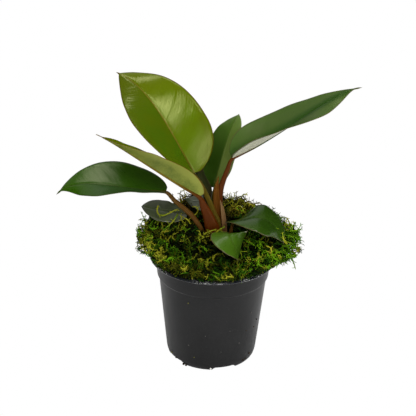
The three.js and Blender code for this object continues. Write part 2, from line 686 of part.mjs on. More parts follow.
// The lip's clear space, as a plain ring, so that the moss lies on it and over its edge
const ringFoot = SOIL.top - POT.bandTopHeight + POT.bandFootHeight;
placed.push(solidFrom(turned([
  [RIM_INSIDE, ringFoot],
  [POT.lipRadius + GAP, ringFoot],
  [POT.lipRadius + GAP, POT.height + GAP],
  [RIM_INSIDE, POT.height + GAP],
  [RIM_INSIDE, ringFoot],
], POT.sides)));
for (const [name, clump] of Object.entries(CLUMPS)) {
  place(name, clumpSolid(clump), null, clump.color, 0.95);
}
place('soil', soilSolid(), null, 0x2a1d12, 0.95);

export default plant;
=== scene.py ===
# A young philodendron in a black nursery pot, dressed for its picture on a plain white floor.
# Metres, +Z up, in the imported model's own frame. Sizes are real ones in millimetres times MM.
import math
import bmesh
import bpy
import numpy as np
from mathutils import Matrix, Vector
from mathutils.bvhtree import BVHTree


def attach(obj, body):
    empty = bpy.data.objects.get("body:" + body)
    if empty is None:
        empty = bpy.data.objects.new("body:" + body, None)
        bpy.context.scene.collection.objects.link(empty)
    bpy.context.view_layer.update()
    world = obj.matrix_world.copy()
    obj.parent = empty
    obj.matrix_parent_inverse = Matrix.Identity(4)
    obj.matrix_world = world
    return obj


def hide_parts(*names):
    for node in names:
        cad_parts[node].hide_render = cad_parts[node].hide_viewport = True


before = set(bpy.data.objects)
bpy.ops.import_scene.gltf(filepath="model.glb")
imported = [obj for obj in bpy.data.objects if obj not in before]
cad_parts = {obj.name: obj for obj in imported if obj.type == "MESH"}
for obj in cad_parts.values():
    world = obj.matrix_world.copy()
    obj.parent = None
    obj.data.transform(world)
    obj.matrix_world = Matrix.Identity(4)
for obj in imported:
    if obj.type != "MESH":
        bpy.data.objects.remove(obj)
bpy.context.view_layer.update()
scene = bpy.context.scene

# Camera. A long lens stands about 0.87 m off, looks down on the pot from the front at 25 degrees, and
# leans a little over a degree to one side, so that the pot's right-hand edge sits lower than its left.
MM = 0.001
view = bpy.data.cameras.new("view")
view.sensor_width = 36
view.lens = 90.9
view.clip_start = 0.05
looks_at = Vector((-5.27, 0, 135.27)) * MM
look_down = math.radians(24.76)
lean = math.radians(1.26)
away = 871.9 * MM
eye_line = Vector((0, math.cos(look_down), -math.sin(look_down)))
upright = Vector((0, math.sin(look_down), math.cos(look_down)))
sideways = Vector((1, 0, 0))
right_edge = sideways * math.cos(lean) + upright * math.sin(lean)
top_edge = upright * math.cos(lean) - sideways * math.sin(lean)
camera = bpy.data.objects.new("camera", view)
camera.matrix_world = Matrix((right_edge, top_edge, -eye_line)).transposed().to_4x4()
camera.location = looks_at - eye_line * away
scene.collection.objects.link(camera)
scene.camera = camera

# Pot. A thin cup blown and trimmed from black polypropylene, with a stepped band to stack it by, a flat
# flared lip, and five arches under its foot ring that let water out of the holes behind them.
POT_SIDES = 180
ARCH_ANGLES = [18, 90, 162, 234, 306]
ARCH_HALF_ANGLE = 16.5
ARCH_HEIGHT = 3.3
pot_profile = [
    (0, 0), (20, 0), (23.6, 0), (24.2, 0.5), (24.8, 2.3), (25.5, 2.7), (29, 2.7), (32.9, 2.7), (33.5, 2.3),
    (33.7, 0.4), (34.1, 0), (35, 0), (35.9, 0.1), (36.6, 0.5), (37.3, 1.2), (37.9, 2.3), (38.35, 3.8),
    (38.7, 5.4), (38.97, 7.2), (40.6, 23), (42.3, 40), (44.1, 58), (45.7, 73.6), (45.85, 75), (46.1, 75.5),
    (46.9, 75.9), (47.3, 76.4), (47.45, 77.2), (47.8, 83), (48.2, 89.2), (48.5, 90.2), (49.2, 90.9),
    (50.4, 91.3), (52.4, 91.5), (53.1, 91.6), (53.45, 92.0), (53.5, 92.3), (53.35, 92.65), (52.9, 92.9),
    (51, 92.95), (49, 92.9), (48.1, 92.6), (47.4, 91.9), (47.1, 91), (46.7, 84), (46.25, 77.4),
    (45.9, 76.4), (44.9, 75.6), (44.6, 74.6), (42.8, 57), (40.9, 38), (39.2, 21), (37.8, 7.4), (37.2, 4.6),
    (36.5, 3.95), (31, 3.9), (26.1, 3.9), (25.2, 3.4), (24.4, 1.7), (23.6, 1.2), (12, 1.2), (0, 1.2),
]


def closed_mesh(name, points, faces, smooth=True):
    mesh = bpy.data.meshes.new(name)
    mesh.from_pydata([tuple(p) for p in points], [], [tuple(f) for f in faces])
    mesh.update()
    build = bmesh.new()
    build.from_mesh(mesh)
    bmesh.ops.recalc_face_normals(build, faces=build.faces)
    build.to_mesh(mesh)
    build.free()
    for polygon in mesh.polygons:
        polygon.use_smooth = smooth
    piece = bpy.data.objects.new(name, mesh)
    scene.collection.objects.link(piece)
    return piece


def turned_rings(profile, sides):
    """Rings of points in metres round the Z axis, one for each place of a profile in millimetres."""
    turn = np.linspace(0, 2 * math.pi, sides, endpoint=False)
    rings = []
    for radius, height in profile:
        ring = np.stack([np.sin(turn) * radius, -np.cos(turn) * radius, np.full(sides, float(height))], 1)
        rings.append(ring * MM)
    return rings


def ring_faces(rings, sides):
    """Faces between rings. The first and the last ring close to one point each."""
    points = [rings[0][0]]
    for ring in rings[1:-1]:
        points.extend(ring)
    points.append(rings[-1][0])
    last = len(points) - 1
    faces = []
    for j in range(sides):
        k = (j + 1) % sides
        faces.append((0, 1 + j, 1 + k))
        for i in range(len(rings) - 3):
            low = 1 + i * sides
            faces.append((low + j, low + sides + j, low + sides + k, low + k))
        faces.append((last, last - sides + k, last - sides + j))
    return points, faces


pot_rings = turned_rings(pot_profile, POT_SIDES)
for ring, (radius, height) in zip(pot_rings, pot_profile):
    if 33 < radius < 39 and height < ARCH_HEIGHT + 1:
        for point in ring:
            angle = math.degrees(math.atan2(point[0], -point[1])) % 360
            off = min(abs((angle - a + 180) % 360 - 180) for a in ARCH_ANGLES)
            arch = ARCH_HEIGHT * min(1, max(0, (ARCH_HALF_ANGLE - off) / 3.5)) ** 0.6
            point[2] = max(point[2], arch * MM)
pot = closed_mesh("pot_shell", *ring_faces(pot_rings, POT_SIDES))
hole_build = bmesh.new()
for angle in ARCH_ANGLES:
    turn = math.radians(angle)
    place = Matrix.Translation(Vector((math.sin(turn) * 29, -math.cos(turn) * 29, 3)) * MM)
    bmesh.ops.create_cone(hole_build, cap_ends=True, segments=24, radius1=3 * MM, radius2=3 * MM,
                          depth=6 * MM, matrix=place)
hole_mesh = bpy.data.meshes.new("drain_holes")
hole_build.to_mesh(hole_mesh)
hole_build.free()
drain_holes = bpy.data.objects.new("drain_holes", hole_mesh)
scene.collection.objects.link(drain_holes)


def apply_modifiers(piece):
    bpy.context.view_layer.update()
    done = bpy.data.meshes.new_from_object(piece.evaluated_get(bpy.context.evaluated_depsgraph_get()))
    piece.modifiers.clear()
    piece.data = done


cut = pot.modifiers.new("drain", "BOOLEAN")
cut.operation = "DIFFERENCE"
cut.solver = "EXACT"
cut.object = drain_holes
apply_modifiers(pot)
bpy.data.objects.remove(drain_holes)


def new_material(name, roughness, coat=0.0, coat_roughness=0.1, specular=0.5):
    material = bpy.data.materials.new(name)
    material.use_nodes = True
    shader = material.node_tree.nodes["Principled BSDF"]
    shader.inputs["Roughness"].default_value = roughness
    shader.inputs["Coat Weight"].default_value = coat
    shader.inputs["Coat Roughness"].default_value = coat_roughness
    shader.inputs["Specular IOR Level"].default_value = specular
    return material, material.node_tree, shader


def add_node(tree, kind, values=None, **settings):
    node = tree.nodes.new(kind)
    for key, value in settings.items():
        setattr(node, key, value)
    for key, value in (values or {}).items():
        socket = node.inputs[key]
        if hasattr(value, "is_output"):
            tree.links.new(value, socket)
        else:
            socket.default_value = value
    return node


def math_node(tree, operation, first, second=0.0, third=0.0):
    node = add_node(tree, "ShaderNodeMath", {0: first, 1: second, 2: third}, operation=operation)
    return node.outputs[0]


def ramp_node(tree, value, stops):
    """A colour ramp from (place, (r, g, b)) stops."""
    node = add_node(tree, "ShaderNodeValToRGB", {"Fac": value})
    ramp = node.color_ramp
    while len(ramp.elements) < len(stops):
        ramp.elements.new(0.5)
    for element, (place, color) in zip(ramp.elements, stops):
        element.position = place
        element.color = (*color, 1)
    return node.outputs["Color"]


def object_place(tree):
    return add_node(tree, "ShaderNodeTexCoord").outputs["Object"]


def noise_node(tree, where, scale, detail):
    values = {"Vector": where, "Scale": scale, "Detail": detail}
    return add_node(tree, "ShaderNodeTexNoise", values).outputs["Fac"]


def drawn_out(tree, where, upward):
    """Places squeezed along Z, so that noise there makes upright streaks."""
    return add_node(tree, "ShaderNodeMapping", {"Vector": where, "Scale": (1, 1, upward)}).outputs["Vector"]


def add_bump(tree, shader, height, strength, distance):
    node = add_node(tree, "ShaderNodeBump", {"Strength": strength, "Distance": distance, "Height": height})
    tree.links.new(node.outputs["Normal"], shader.inputs["Normal"])


def step_mask(tree, value, start, end):
    """0 before start, 1 after end, and smooth between them."""
    node = add_node(tree, "ShaderNodeMapRange", {"Value": value, "From Min": start, "From Max": end},
                    interpolation_type="SMOOTHSTEP")
    return node.outputs["Result"]


def blend_color(tree, share, first, second):
    node = add_node(tree, "ShaderNodeMix", data_type="RGBA")
    for index, value in ((0, share), (6, first), (7, second)):
        if hasattr(value, "is_output"):
            tree.links.new(value, node.inputs[index])
        else:
            node.inputs[index].default_value = value if index == 0 else (*value, 1)
    return node.outputs[2]


pot_plastic, tree, shader = new_material("pot_plastic", 0.4, specular=0.2)
place = object_place(tree)
cloud = noise_node(tree, place, 34, 5)
stretch = drawn_out(tree, place, 0.12)
streaks = noise_node(tree, stretch, 240, 4)
specks = noise_node(tree, place, 900, 2)
height = add_node(tree, "ShaderNodeSeparateXYZ", {"Vector": place}).outputs["Z"]
plastic = ramp_node(tree, cloud, [(0.3, (0.0065, 0.0065, 0.0067)), (0.7, (0.0105, 0.0105, 0.0107))])
near_lip = step_mask(tree, height, 0.0905, 0.0922)
speckle = math_node(tree, "MULTIPLY", step_mask(tree, specks, 0.58, 0.72), 0.3)
plastic = blend_color(tree, speckle, plastic, (0.03, 0.03, 0.03))
# Pale grey marks on the lip: partly real scuffs, partly a painted highlight along its edge.
lip_scuffs_and_highlight = math_node(tree, "MULTIPLY", step_mask(tree, specks, 0.5, 0.62), near_lip)
lip_scuffs_and_highlight = math_node(tree, "MULTIPLY", lip_scuffs_and_highlight, step_mask(tree, cloud, 0.42, 0.58))
# The lip band's colour is painted darker and bluish over the black plastic, as a painted sheen of its gloss.
plastic = blend_color(tree, near_lip, plastic, (0.005, 0.006, 0.009))
scuffed_and_highlit = blend_color(tree, math_node(tree, "MULTIPLY", lip_scuffs_and_highlight, 0.8), plastic, (0.4, 0.4, 0.38))
tree.links.new(scuffed_and_highlit, shader.inputs["Base Color"])
satin = math_node(tree, "MULTIPLY_ADD", streaks, 0.14, 0.3)
glossy_lip = math_node(tree, "MULTIPLY_ADD", near_lip, -0.14, satin)
tree.links.new(glossy_lip, shader.inputs["Roughness"])
tree.links.new(math_node(tree, "MULTIPLY", near_lip, 0.7), shader.inputs["Coat Weight"])
add_bump(tree, shader, streaks, 0.12, 0.0002)
pot.data.materials.clear()
pot.data.materials.append(pot_plastic)
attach(pot, "root")
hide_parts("pot")

# Soil. Moist peat with coir and white perlite grains, filled to 7 mm under the lip and pressed in by
# hand, so that its top is lumpy. A few grains stuck to the pot's outside when it was watered.
SOIL_SIDES = 96
soil_profile = [
    (0, 1.7), (23, 1.7), (24.5, 3), (25.8, 4.4), (36, 4.4), (37.2, 8), (40.2, 38), (44, 74.5), (45.6, 78),
    (45.9, 84), (44.5, 86), (40, 86.2), (34, 86), (28, 86.2), (22, 86), (16, 86.2), (13.2, 86), (12.9, 84),
    (12, 70), (0, 56),
]
soil_rings = turned_rings(soil_profile, SOIL_SIDES)
dice = np.random.default_rng(5)
for ring, (radius, height) in zip(soil_rings, soil_profile):
    if height > 85 and radius < 45:
        ring[:, 2] += dice.normal(0, 0.35, SOIL_SIDES) * MM
soil = closed_mesh("soil_fill", *ring_faces(soil_rings, SOIL_SIDES))
peat, tree, shader = new_material("peat", 0.95, specular=0.2)
place = object_place(tree)
crumbs = add_node(tree, "ShaderNodeTexVoronoi", {"Vector": place, "Scale": 420}).outputs["Distance"]
cloud = noise_node(tree, place, 260, 6)
dark = ramp_node(tree, cloud, [(0.3, (0.008, 0.005, 0.003)), (0.55, (0.03, 0.018, 0.009)),
                               (0.75, (0.07, 0.045, 0.022))])
tree.links.new(dark, shader.inputs["Base Color"])
lumpy = math_node(tree, "ADD", cloud, crumbs)
add_bump(tree, shader, lumpy, 1, 0.0008)
soil.data.materials.append(peat)
GRAIN_COLORS = {"perlite": (0.8, 0.78, 0.72), "dust": (0.1, 0.095, 0.085), "husk": (0.12, 0.12, 0.03)}
for name, color in GRAIN_COLORS.items():
    grain_skin, _, shader = new_material(name, 0.9, specular=0.1)
    shader.inputs["Base Color"].default_value = (*color, 1)
    soil.data.materials.append(grain_skin)
# Each grain's angle round the pot, height, radius, and finish: 0 is peat, then the three above.
GRAINS = [
    (0, 2.6, 0.95, 1), (-26, 67.4, 0.65, 3), (49, 52.9, 0.55, 2), (64, 40.6, 0.65, 0), (59, 34.9, 0.6, 0),
    (44, 36.2, 0.55, 0), (35, 25.8, 0.5, 2), (-28, 24.1, 0.5, 2), (-21, 12.7, 0.5, 3), (21, 41, 0.35, 2),
    (12, 20.2, 0.35, 2), (-7, 36.9, 0.35, 2), (-38, 1.3, 1.2, 0), (-34, 1.2, 1.1, 0), (-60, 6.3, 0.9, 3),
    (-51, 4.2, 1.0, 0), (45, 5, 1.1, 0), (49, 5.5, 1.0, 0), (57, 8.3, 0.9, 0), (150, 4, 1.0, 0),
    (205, 5, 0.9, 2), (120, 30, 0.5, 2), (190, 55, 0.5, 3), (250, 14, 0.5, 2),
]
FOOT_RADIUS = 37.5
FOOT_FLARE = 0.2
WALL_RADIUS = 39.1
WALL_FLARE = 0.1014
WALL_BOTTOM = 7.2
grain_build = bmesh.new()
grain_build.from_mesh(soil.data)
for angle, height, size, finish in GRAINS:
    radius = FOOT_RADIUS + FOOT_FLARE * height
    if height > WALL_BOTTOM:
        radius = WALL_RADIUS + WALL_FLARE * (height - WALL_BOTTOM)
    turn = math.radians(angle)
    place = Matrix.Translation(Vector((math.sin(turn) * radius, -math.cos(turn) * radius, height)) * MM)
    made = bmesh.ops.create_icosphere(grain_build, subdivisions=1, radius=size * MM, matrix=place)
    for face in {face for corner in made["verts"] for face in corner.link_faces}:
        face.material_index = finish
grain_build.to_mesh(soil.data)
grain_build.free()
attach(soil, "root")
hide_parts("soil")

# Leaves. Each blade is one smooth sheet about half a millimetre thick, folded along its midrib. It is
# thin at the margin, grooved over the midrib above, and carries the midrib as a ridge below.
LEAVES = {
    "upright_left": {
        "midrib": [(-17.5, 11.3, 161.2), (-36.4, 7.3, 198.6), (-54.8, 22, 233.7), (-82.9, 34.6, 239.9)],
        "half": 31.5, "widest": 0.3, "fold": (33, 15, -13), "curl": (17, 5, -19), "roll": (-36, -34, -22),
        "lobe": 1.9, "shape": 1.1, "taper": 0.74, "drip": 0.03,
        "upper": "young", "under": "young_under", "slot": "leaf_young",
        "stalk": [(4.5, -1.5, 96, 2.6, 2.2), (3.5, -1, 121, 2.5, 2), (0, 0, 130, 2.3, 2),
                  (-4, 2.5, 139.5, 2.2, 2), (-7.5, 5, 146, 2.1, 2), (-12.5, 8, 154, 2.1, 2)],
        "rib": 1.9, "stalk_finish": "olive",
    },
    "folded_left": {
        "midrib": [(-11.6, -9, 149.4), (-47.2, -17.6, 174.1), (-78.8, -27, 202.7), (-92.9, -34.2, 211.4)],
        "half": 16.7, "widest": 0.29, "fold": (71, 32, 12), "curl": (0, 0, 0), "roll": (10, 15, -15),
        "lobe": 1.8, "shape": 1.19, "taper": 1.09, "drip": 0.09,
        "upper": "young", "under": "pale_under", "slot": "leaf_young",
        "stalk": [(0.2, -5.5, 96, 5.4, 2.4), (-1.1, -6.5, 118, 6.1, 2.4), (-2.8, -7, 124.5, 5.5, 2.4),
                  (-5.5, -7.6, 133, 4.4, 2.3), (-9, -8.4, 141, 3.2, 2.2)],
        "rib": 1.9, "stalk_finish": "red",
    },
    "low_left": {
        "midrib": [(-39.8, -5.9, 152.1), (-71.8, -3.9, 150.2), (-113.9, -9.5, 169.2), (-128.4, -15.5, 151.2)],
        "half": 25.6, "widest": 0.43, "fold": (20, 17, -15), "curl": (2, -1, -24), "roll": (-5, -13, -46),
        "lobe": 1.3, "shape": 0.92, "taper": 1.41, "drip": 0.04,
        "upper": "dark", "under": "mid_under", "slot": "leaf_dark",
        "stalk": [(-4.5, -2, 96, 1.8, 1.8), (-8.5, -4, 112, 1.9, 1.8), (-12.5, -4.5, 121.5, 2.1, 1.9),
                  (-19.3, -3.5, 130.5, 2.2, 2), (-26, -3.4, 136.8, 2.1, 1.9), (-33, -4, 143.2, 1.9, 1.8)],
        "rib": 1.5, "stalk_finish": "brown",
    },
    "upright_back": {
        "midrib": [(-0.4, 16.8, 146.6), (4.8, 24.1, 168.2), (12.2, 29.1, 202.6), (19.2, 40.8, 203.7)],
        "half": 18.7, "widest": 0.35, "fold": (26, 8, -2), "curl": (0, 0, 0), "roll": (-4, -6, -22),
        "lobe": 1.2, "shape": 1.14, "taper": 1.01, "drip": 0.02,
        "upper": "half_shade_half_sheen", "under": "mid_under", "slot": "leaf_mid",
        "stalk": [(-0.5, 6, 96, 1.8, 1.8), (-1, 10, 120, 1.8, 1.8), (-1, 14, 136, 1.7, 1.7)],
        "rib": 1.5, "stalk_finish": "olive",
    },
    "long_right": {
        "midrib": [(13.3, 2.8, 179.2), (54.2, 11.7, 194.5), (94.7, 19, 235.6), (117.9, 25, 234.4)],
        "half": 23.7, "widest": 0.25, "fold": (47, 12, -33), "curl": (0, 0, 0), "roll": (4, 4, 53),
        "lobe": 1.0, "shape": 1.26, "taper": 1.81, "drip": 0.045,
        "upper": "long", "under": "long_under", "slot": "leaf_mid",
        "stalk": [(5, 5.5, 96, 2.6, 2.2), (5.2, 5.5, 118, 2.6, 2.2), (4.7, 5, 129, 2.8, 2.1),
                  (4, 4.6, 140, 2.8, 2.1), (4.8, 4.1, 151, 2.6, 2), (7.2, 3.6, 160, 2.2, 2),
                  (10.2, 3, 169.5, 1.9, 1.9)],
        "rib": 1.4, "stalk_finish": "red",
    },
    "low_right": {
        "midrib": [(16.1, -1.7, 123.8), (38.5, -17.6, 140.3), (51.6, -4.1, 128.6), (58.2, -13.5, 109.5)],
        "half": 18.2, "widest": 0.41, "fold": (14, 10, 6), "curl": (-11, -24, -15), "roll": (-21, 19, 12),
        "lobe": 6.6, "shape": 1.15, "taper": 1.0, "drip": 0.03,
        "upper": "deep", "under": "mid_under", "slot": "leaf_mid",
        "stalk": [(11, -3.5, 96, 1.5, 1.5), (11.5, -3.5, 108, 1.5, 1.5), (14, -3.2, 115, 1.5, 1.5)],
        "rib": 1.2, "stalk_finish": "brown",
    },
    "front_small": {
        "midrib": [(14, -12, 118), (8, -24, 126), (23, -27, 109), (20, -26, 99)],
        "half": 15.8, "widest": 0.31, "fold": (9, -3, 0), "curl": (0, 0, 0), "roll": (4, 7, 0),
        "lobe": 3.2, "shape": 1.15, "taper": 1.05, "drip": 0.04,
        "upper": "mid", "under": "mid_under", "slot": "leaf_mid",
        "stalk": [(7.5, -8, 96, 1.4, 1.4), (9.5, -9, 108, 1.4, 1.4), (12, -10, 114, 1.4, 1.4)],
        "rib": 1.0, "stalk_finish": "brown",
    },
    "moss_left": {
        "midrib": [(-24, 9, 125), (-34, 5, 127), (-60, 5, 133), (-61, 5, 133)],
        "half": 12.6, "widest": 0.4, "fold": (9, 7, 4), "curl": (-11, -14, -1), "roll": (-3, -21, -2),
        "lobe": 1.7, "shape": 1.15, "taper": 1.05, "drip": 0.03,
        "upper": "grey", "under": "mid_under", "slot": "leaf_grey",
        "stalk": [(-4, 4.8, 96, 1.4, 1.4), (-9, 4.5, 112, 1.4, 1.4), (-15, 5, 119, 1.4, 1.4)],
        "rib": 1.0, "stalk_finish": "brown",
    },
    "behind_crown": {
        "midrib": [(0, 22, 127), (2, 22, 134), (-19, 26, 126), (-26, 24, 133)],
        "half": 13.6, "widest": 0.39, "fold": (16, 2, 4), "curl": (0, 0, 0), "roll": (-23, -13, -6),
        "lobe": 2.1, "shape": 1.15, "taper": 1.05, "drip": 0.03,
        "upper": "grey", "under": "mid_under", "slot": "leaf_grey",
        "stalk": [(3.5, 9.2, 96, 1.4, 1.4), (3.5, 14, 112, 1.4, 1.4), (3, 18, 121, 1.4, 1.4)],
        "rib": 1.0, "stalk_finish": "olive",
    },
}
DRIP_HALF_WIDTH = 0.03
BLADE_MIDDLE = 0.7
BLADE_MARGIN = 0.3
VEIN_GAP = 3.2


def between(three, s):
    """A value given at the base, the middle and the tip."""
    base, middle, tip = three
    return base * (1 - s) * (1 - 2 * s) + 4 * middle * s * (1 - s) + tip * s * (2 * s - 1)


def leaf_directions(leaf, s):
    """Midrib points in millimetres, with the leaf's ahead, face and right-hand directions there."""
    a, b, c, d = (np.array(p, float) for p in leaf["midrib"])
    s = np.asarray(s, float)[..., None]
    middle = (1 - s) ** 3 * a + 3 * (1 - s) ** 2 * s * b + 3 * (1 - s) * s**2 * c + s**3 * d
    ahead = 3 * (1 - s) ** 2 * (b - a) + 6 * (1 - s) * s * (c - b) + 3 * s**2 * (d - c)
    ahead /= np.linalg.norm(ahead, axis=-1, keepdims=True)
    up = np.array([0, 0, 1.0]) - ahead[..., 2:] * ahead
    up /= np.linalg.norm(up, axis=-1, keepdims=True)
    side = np.cross(ahead, up)
    roll = np.radians(between(leaf["roll"], s))
    face = np.cos(roll) * up + np.sin(roll) * side
    right = np.cos(roll) * side - np.sin(roll) * up
    return middle, ahead, face, right


def blade_outline(leaf, s):
    """Half width as a share of the widest: a round base, a long taper, then the thin drip tip."""
    along = np.clip(s / (1 - leaf["drip"]), 0, 1)
    base = np.sqrt(np.clip(1 - (1 - np.clip(along / leaf["widest"], 0, 1)) ** 2, 0, 1))
    beyond = np.clip((along - leaf["widest"]) / (1 - leaf["widest"]), 0, 1)
    taper = np.cos(np.pi / 2 * beyond ** leaf["shape"]) ** leaf["taper"]
    drip = DRIP_HALF_WIDTH * np.clip((1 - s) / leaf["drip"], 0, 1)
    return np.maximum(np.where(along < leaf["widest"], base, taper), drip)


def blade_surface(leaf, s, t):
    """Points in millimetres of the blade's middle surface, the way square to it, and its half width."""
    middle, ahead, face, right = leaf_directions(leaf, s)
    out = np.abs(t)
    hand = np.where(t < 0, -1.0, 1.0)
    fold = np.radians(between(leaf["fold"], s))
    curl = np.radians(between(leaf["curl"], s))
    curl = np.where(np.abs(curl) < 1e-4, 1e-4, curl)
    width = leaf["half"] * blade_outline(leaf, s)
    sideways = (np.sin(fold + curl * out) - np.sin(fold)) / curl * width
    raised = (np.cos(fold) - np.cos(fold + curl * out)) / curl * width
    back = leaf["lobe"] * out**1.6 * (1 - s) ** 4
    points = middle + (hand * sideways)[..., None] * right + raised[..., None] * face
    points = points - back[..., None] * ahead
    lean = (fold + curl * out) * np.clip(out * width / 1.5, 0, 1)
    square = np.cos(lean)[..., None] * face - (hand * np.sin(lean))[..., None] * right
    return points, square, width


def blade_piece(name, leaf, rows=84, columns=33):
    """A closed blade with named values at its points for the vein, midrib and margin colours."""
    rows = max(40, round(rows * leaf["half"] / 24)) if leaf["half"] < 24 else rows
    share = np.linspace(0, 1, rows + 1)[1:-1]
    s_line = 0.5 * share + 0.5 * (0.5 - 0.5 * np.cos(np.pi * share))
    spread = np.linspace(-1, 1, columns)
    t_line = np.sign(spread) * (0.75 * np.abs(spread) + 0.25 * np.abs(spread) ** 2.2)
    s, t = np.meshgrid(s_line, t_line, indexing="ij")
    middle, square, width = blade_surface(leaf, s, t)
    out = np.abs(t)
    from_rib = out * width
    from_edge = (1 - out) * width
    spine, _, _, _ = leaf_directions(leaf, np.linspace(0, 1, 60))
    length = np.linalg.norm(np.diff(spine, axis=0), axis=1).sum()
    vein = (s * length - 0.5 * from_rib - 0.012 * from_rib**2) / VEIN_GAP
    ripple = np.sin(vein * np.pi / 2) * np.clip(from_rib / 4, 0, 1) * np.clip(from_edge / 3, 0, 1)
    wave = np.sin(s * 21 + leaf["half"]) * 0.5 + np.sin(s * 34 + 2 * np.sign(t)) * 0.3
    lift = 0.07 * ripple + 0.45 * wave * out**3 * np.clip(width / 12, 0, 1)
    middle = middle + (lift * np.clip(width / 10, 0, 1))[..., None] * square
    half = (BLADE_MIDDLE + (BLADE_MARGIN - BLADE_MIDDLE) * out**0.7) / 2
    groove = 0.42 * np.exp(-((from_rib / 0.9) ** 2)) * np.clip(width / 8, 0, 1)
    upper = middle + (half - groove)[..., None] * square
    lower = middle - half[..., None] * square
    count, wide = s.shape
    values = {"along": s, "from_rib": from_rib, "from_edge": from_edge, "vein": vein,
              "hand": np.sign(t)}
    points = list(upper.reshape(-1, 3)) + list(lower.reshape(-1, 3))
    flat = {key: list(grid.ravel()) * 2 for key, grid in values.items()}
    ends, _, _, _ = leaf_directions(leaf, np.array([0.0, 1.0]))
    points.extend(ends)
    for key, pair in (("along", (0, 1)), ("from_rib", (0, 0)), ("from_edge", (0, 0)),
                      ("vein", (0, length / VEIN_GAP)), ("hand", (0, 0))):
        flat[key].extend(pair)
    below = count * wide
    base, tip = 2 * below, 2 * below + 1
    faces = []
    finish = []
    for i in range(count - 1):
        for j in range(wide - 1):
            a = i * wide + j
            faces.append((a, a + 1, a + wide + 1, a + wide))
            faces.append((below + a, below + a + wide, below + a + wide + 1, below + a + 1))
            finish.extend((0, 1))
        for a, b in ((i * wide, (i + 1) * wide), ((i + 2) * wide - 1, (i + 1) * wide - 1)):
            faces.append((a, b, below + b, below + a))
            finish.append(0)
    for j in range(wide - 1):
        last = (count - 1) * wide + j
        faces.extend(((base, j + 1, j), (base, below + j, below + j + 1)))
        faces.extend(((tip, last, last + 1), (tip, below + last + 1, below + last)))
        finish.extend((0, 1, 0, 1))
    last = (count - 1) * wide
    faces.extend(((base, 0, below), (base, below + wide - 1, wide - 1)))
    faces.extend(((tip, below + last, last), (tip, last + wide - 1, below + last + wide - 1)))
    finish.extend((0, 0, 0, 0))
    piece = closed_mesh(name, np.array(points) * MM, faces)
    for key, numbers in flat.items():
        piece.data.attributes.new(key, "FLOAT", "POINT").data.foreach_set("value", numbers)
    piece.data.polygons.foreach_set("material_index", finish)
    return piece


def stored_value(tree, name):
    return add_node(tree, "ShaderNodeAttribute", attribute_name=name).outputs["Fac"]


leaf_skin = bpy.data.node_groups.new("leaf skin", "ShaderNodeTree")
for label, kind in (("Left", "NodeSocketColor"), ("Right", "NodeSocketColor"), ("Rib", "NodeSocketColor"),
                    ("Margin", "NodeSocketColor"), ("Tinge", "NodeSocketColor"),
                    ("Rib Width", "NodeSocketFloat"), ("Margin Width", "NodeSocketFloat"),
                    ("Mottle", "NodeSocketFloat"), ("Fade", "NodeSocketFloat"),
                    ("Gloss", "NodeSocketFloat")):
    leaf_skin.interface.new_socket(name=label, in_out="INPUT", socket_type=kind)
for label, kind in (("Color", "NodeSocketColor"), ("Roughness", "NodeSocketFloat"),
                    ("Height", "NodeSocketFloat")):
    leaf_skin.interface.new_socket(name=label, in_out="OUTPUT", socket_type=kind)
tree = leaf_skin
given = add_node(tree, "NodeGroupInput").outputs
along = stored_value(tree, "along")
from_rib = stored_value(tree, "from_rib")
from_edge = stored_value(tree, "from_edge")
vein = stored_value(tree, "vein")
hand = stored_value(tree, "hand")
place = object_place(tree)
cloud = noise_node(tree, place, 45, 3)
cells = noise_node(tree, place, 900, 3)
# Left and Right colour the two halves of a blade; on some skins they differ by painted light and shade.
skin = blend_color(tree, step_mask(tree, hand, -1, 1), given["Left"], given["Right"])
tone = math_node(tree, "MULTIPLY_ADD", cells, 0.3, math_node(tree, "MULTIPLY", cloud, 0.9))
near_edge = math_node(tree, "SUBTRACT", 1, step_mask(tree, from_edge, 0, 9))
tinged = math_node(tree, "MULTIPLY_ADD", near_edge, 0.3, tone)
patch = math_node(tree, "MULTIPLY", step_mask(tree, tinged, 0.4, 0.8), given["Mottle"])
to_tip = math_node(tree, "MULTIPLY", step_mask(tree, along, 0.2, 0.9), given["Fade"])
skin = blend_color(tree, math_node(tree, "MAXIMUM", patch, to_tip), skin, given["Tinge"])
rib_width = math_node(tree, "MULTIPLY", given["Rib Width"], math_node(tree, "SUBTRACT", 1.15, along))
rib_place = math_node(tree, "DIVIDE", from_rib, rib_width)
rib_share = math_node(tree, "SUBTRACT", 1, step_mask(tree, rib_place, 0.25, 1))
skin = blend_color(tree, rib_share, skin, given["Rib"])
edge_place = math_node(tree, "DIVIDE", from_edge, given["Margin Width"])
edge_share = math_node(tree, "SUBTRACT", 1, step_mask(tree, edge_place, 0.3, 1))
skin = blend_color(tree, edge_share, skin, given["Margin"])
dull = math_node(tree, "MULTIPLY_ADD", cells, 0.1, given["Gloss"])
spot = add_node(tree, "ShaderNodeCombineXYZ", {"X": math_node(tree, "MULTIPLY", vein, 1.7),
                                               "Y": math_node(tree, "MULTIPLY", from_rib, 0.08), "Z": hand})
swell = add_node(tree, "ShaderNodeTexNoise", {"Vector": spot.outputs[0], "Scale": 1, "Detail": 3,
                                              "Roughness": 0.6}).outputs["Fac"]
relief = math_node(tree, "MULTIPLY_ADD", cells, 0.03, swell)
add_node(tree, "NodeGroupOutput", {"Color": skin, "Roughness": dull, "Height": relief})

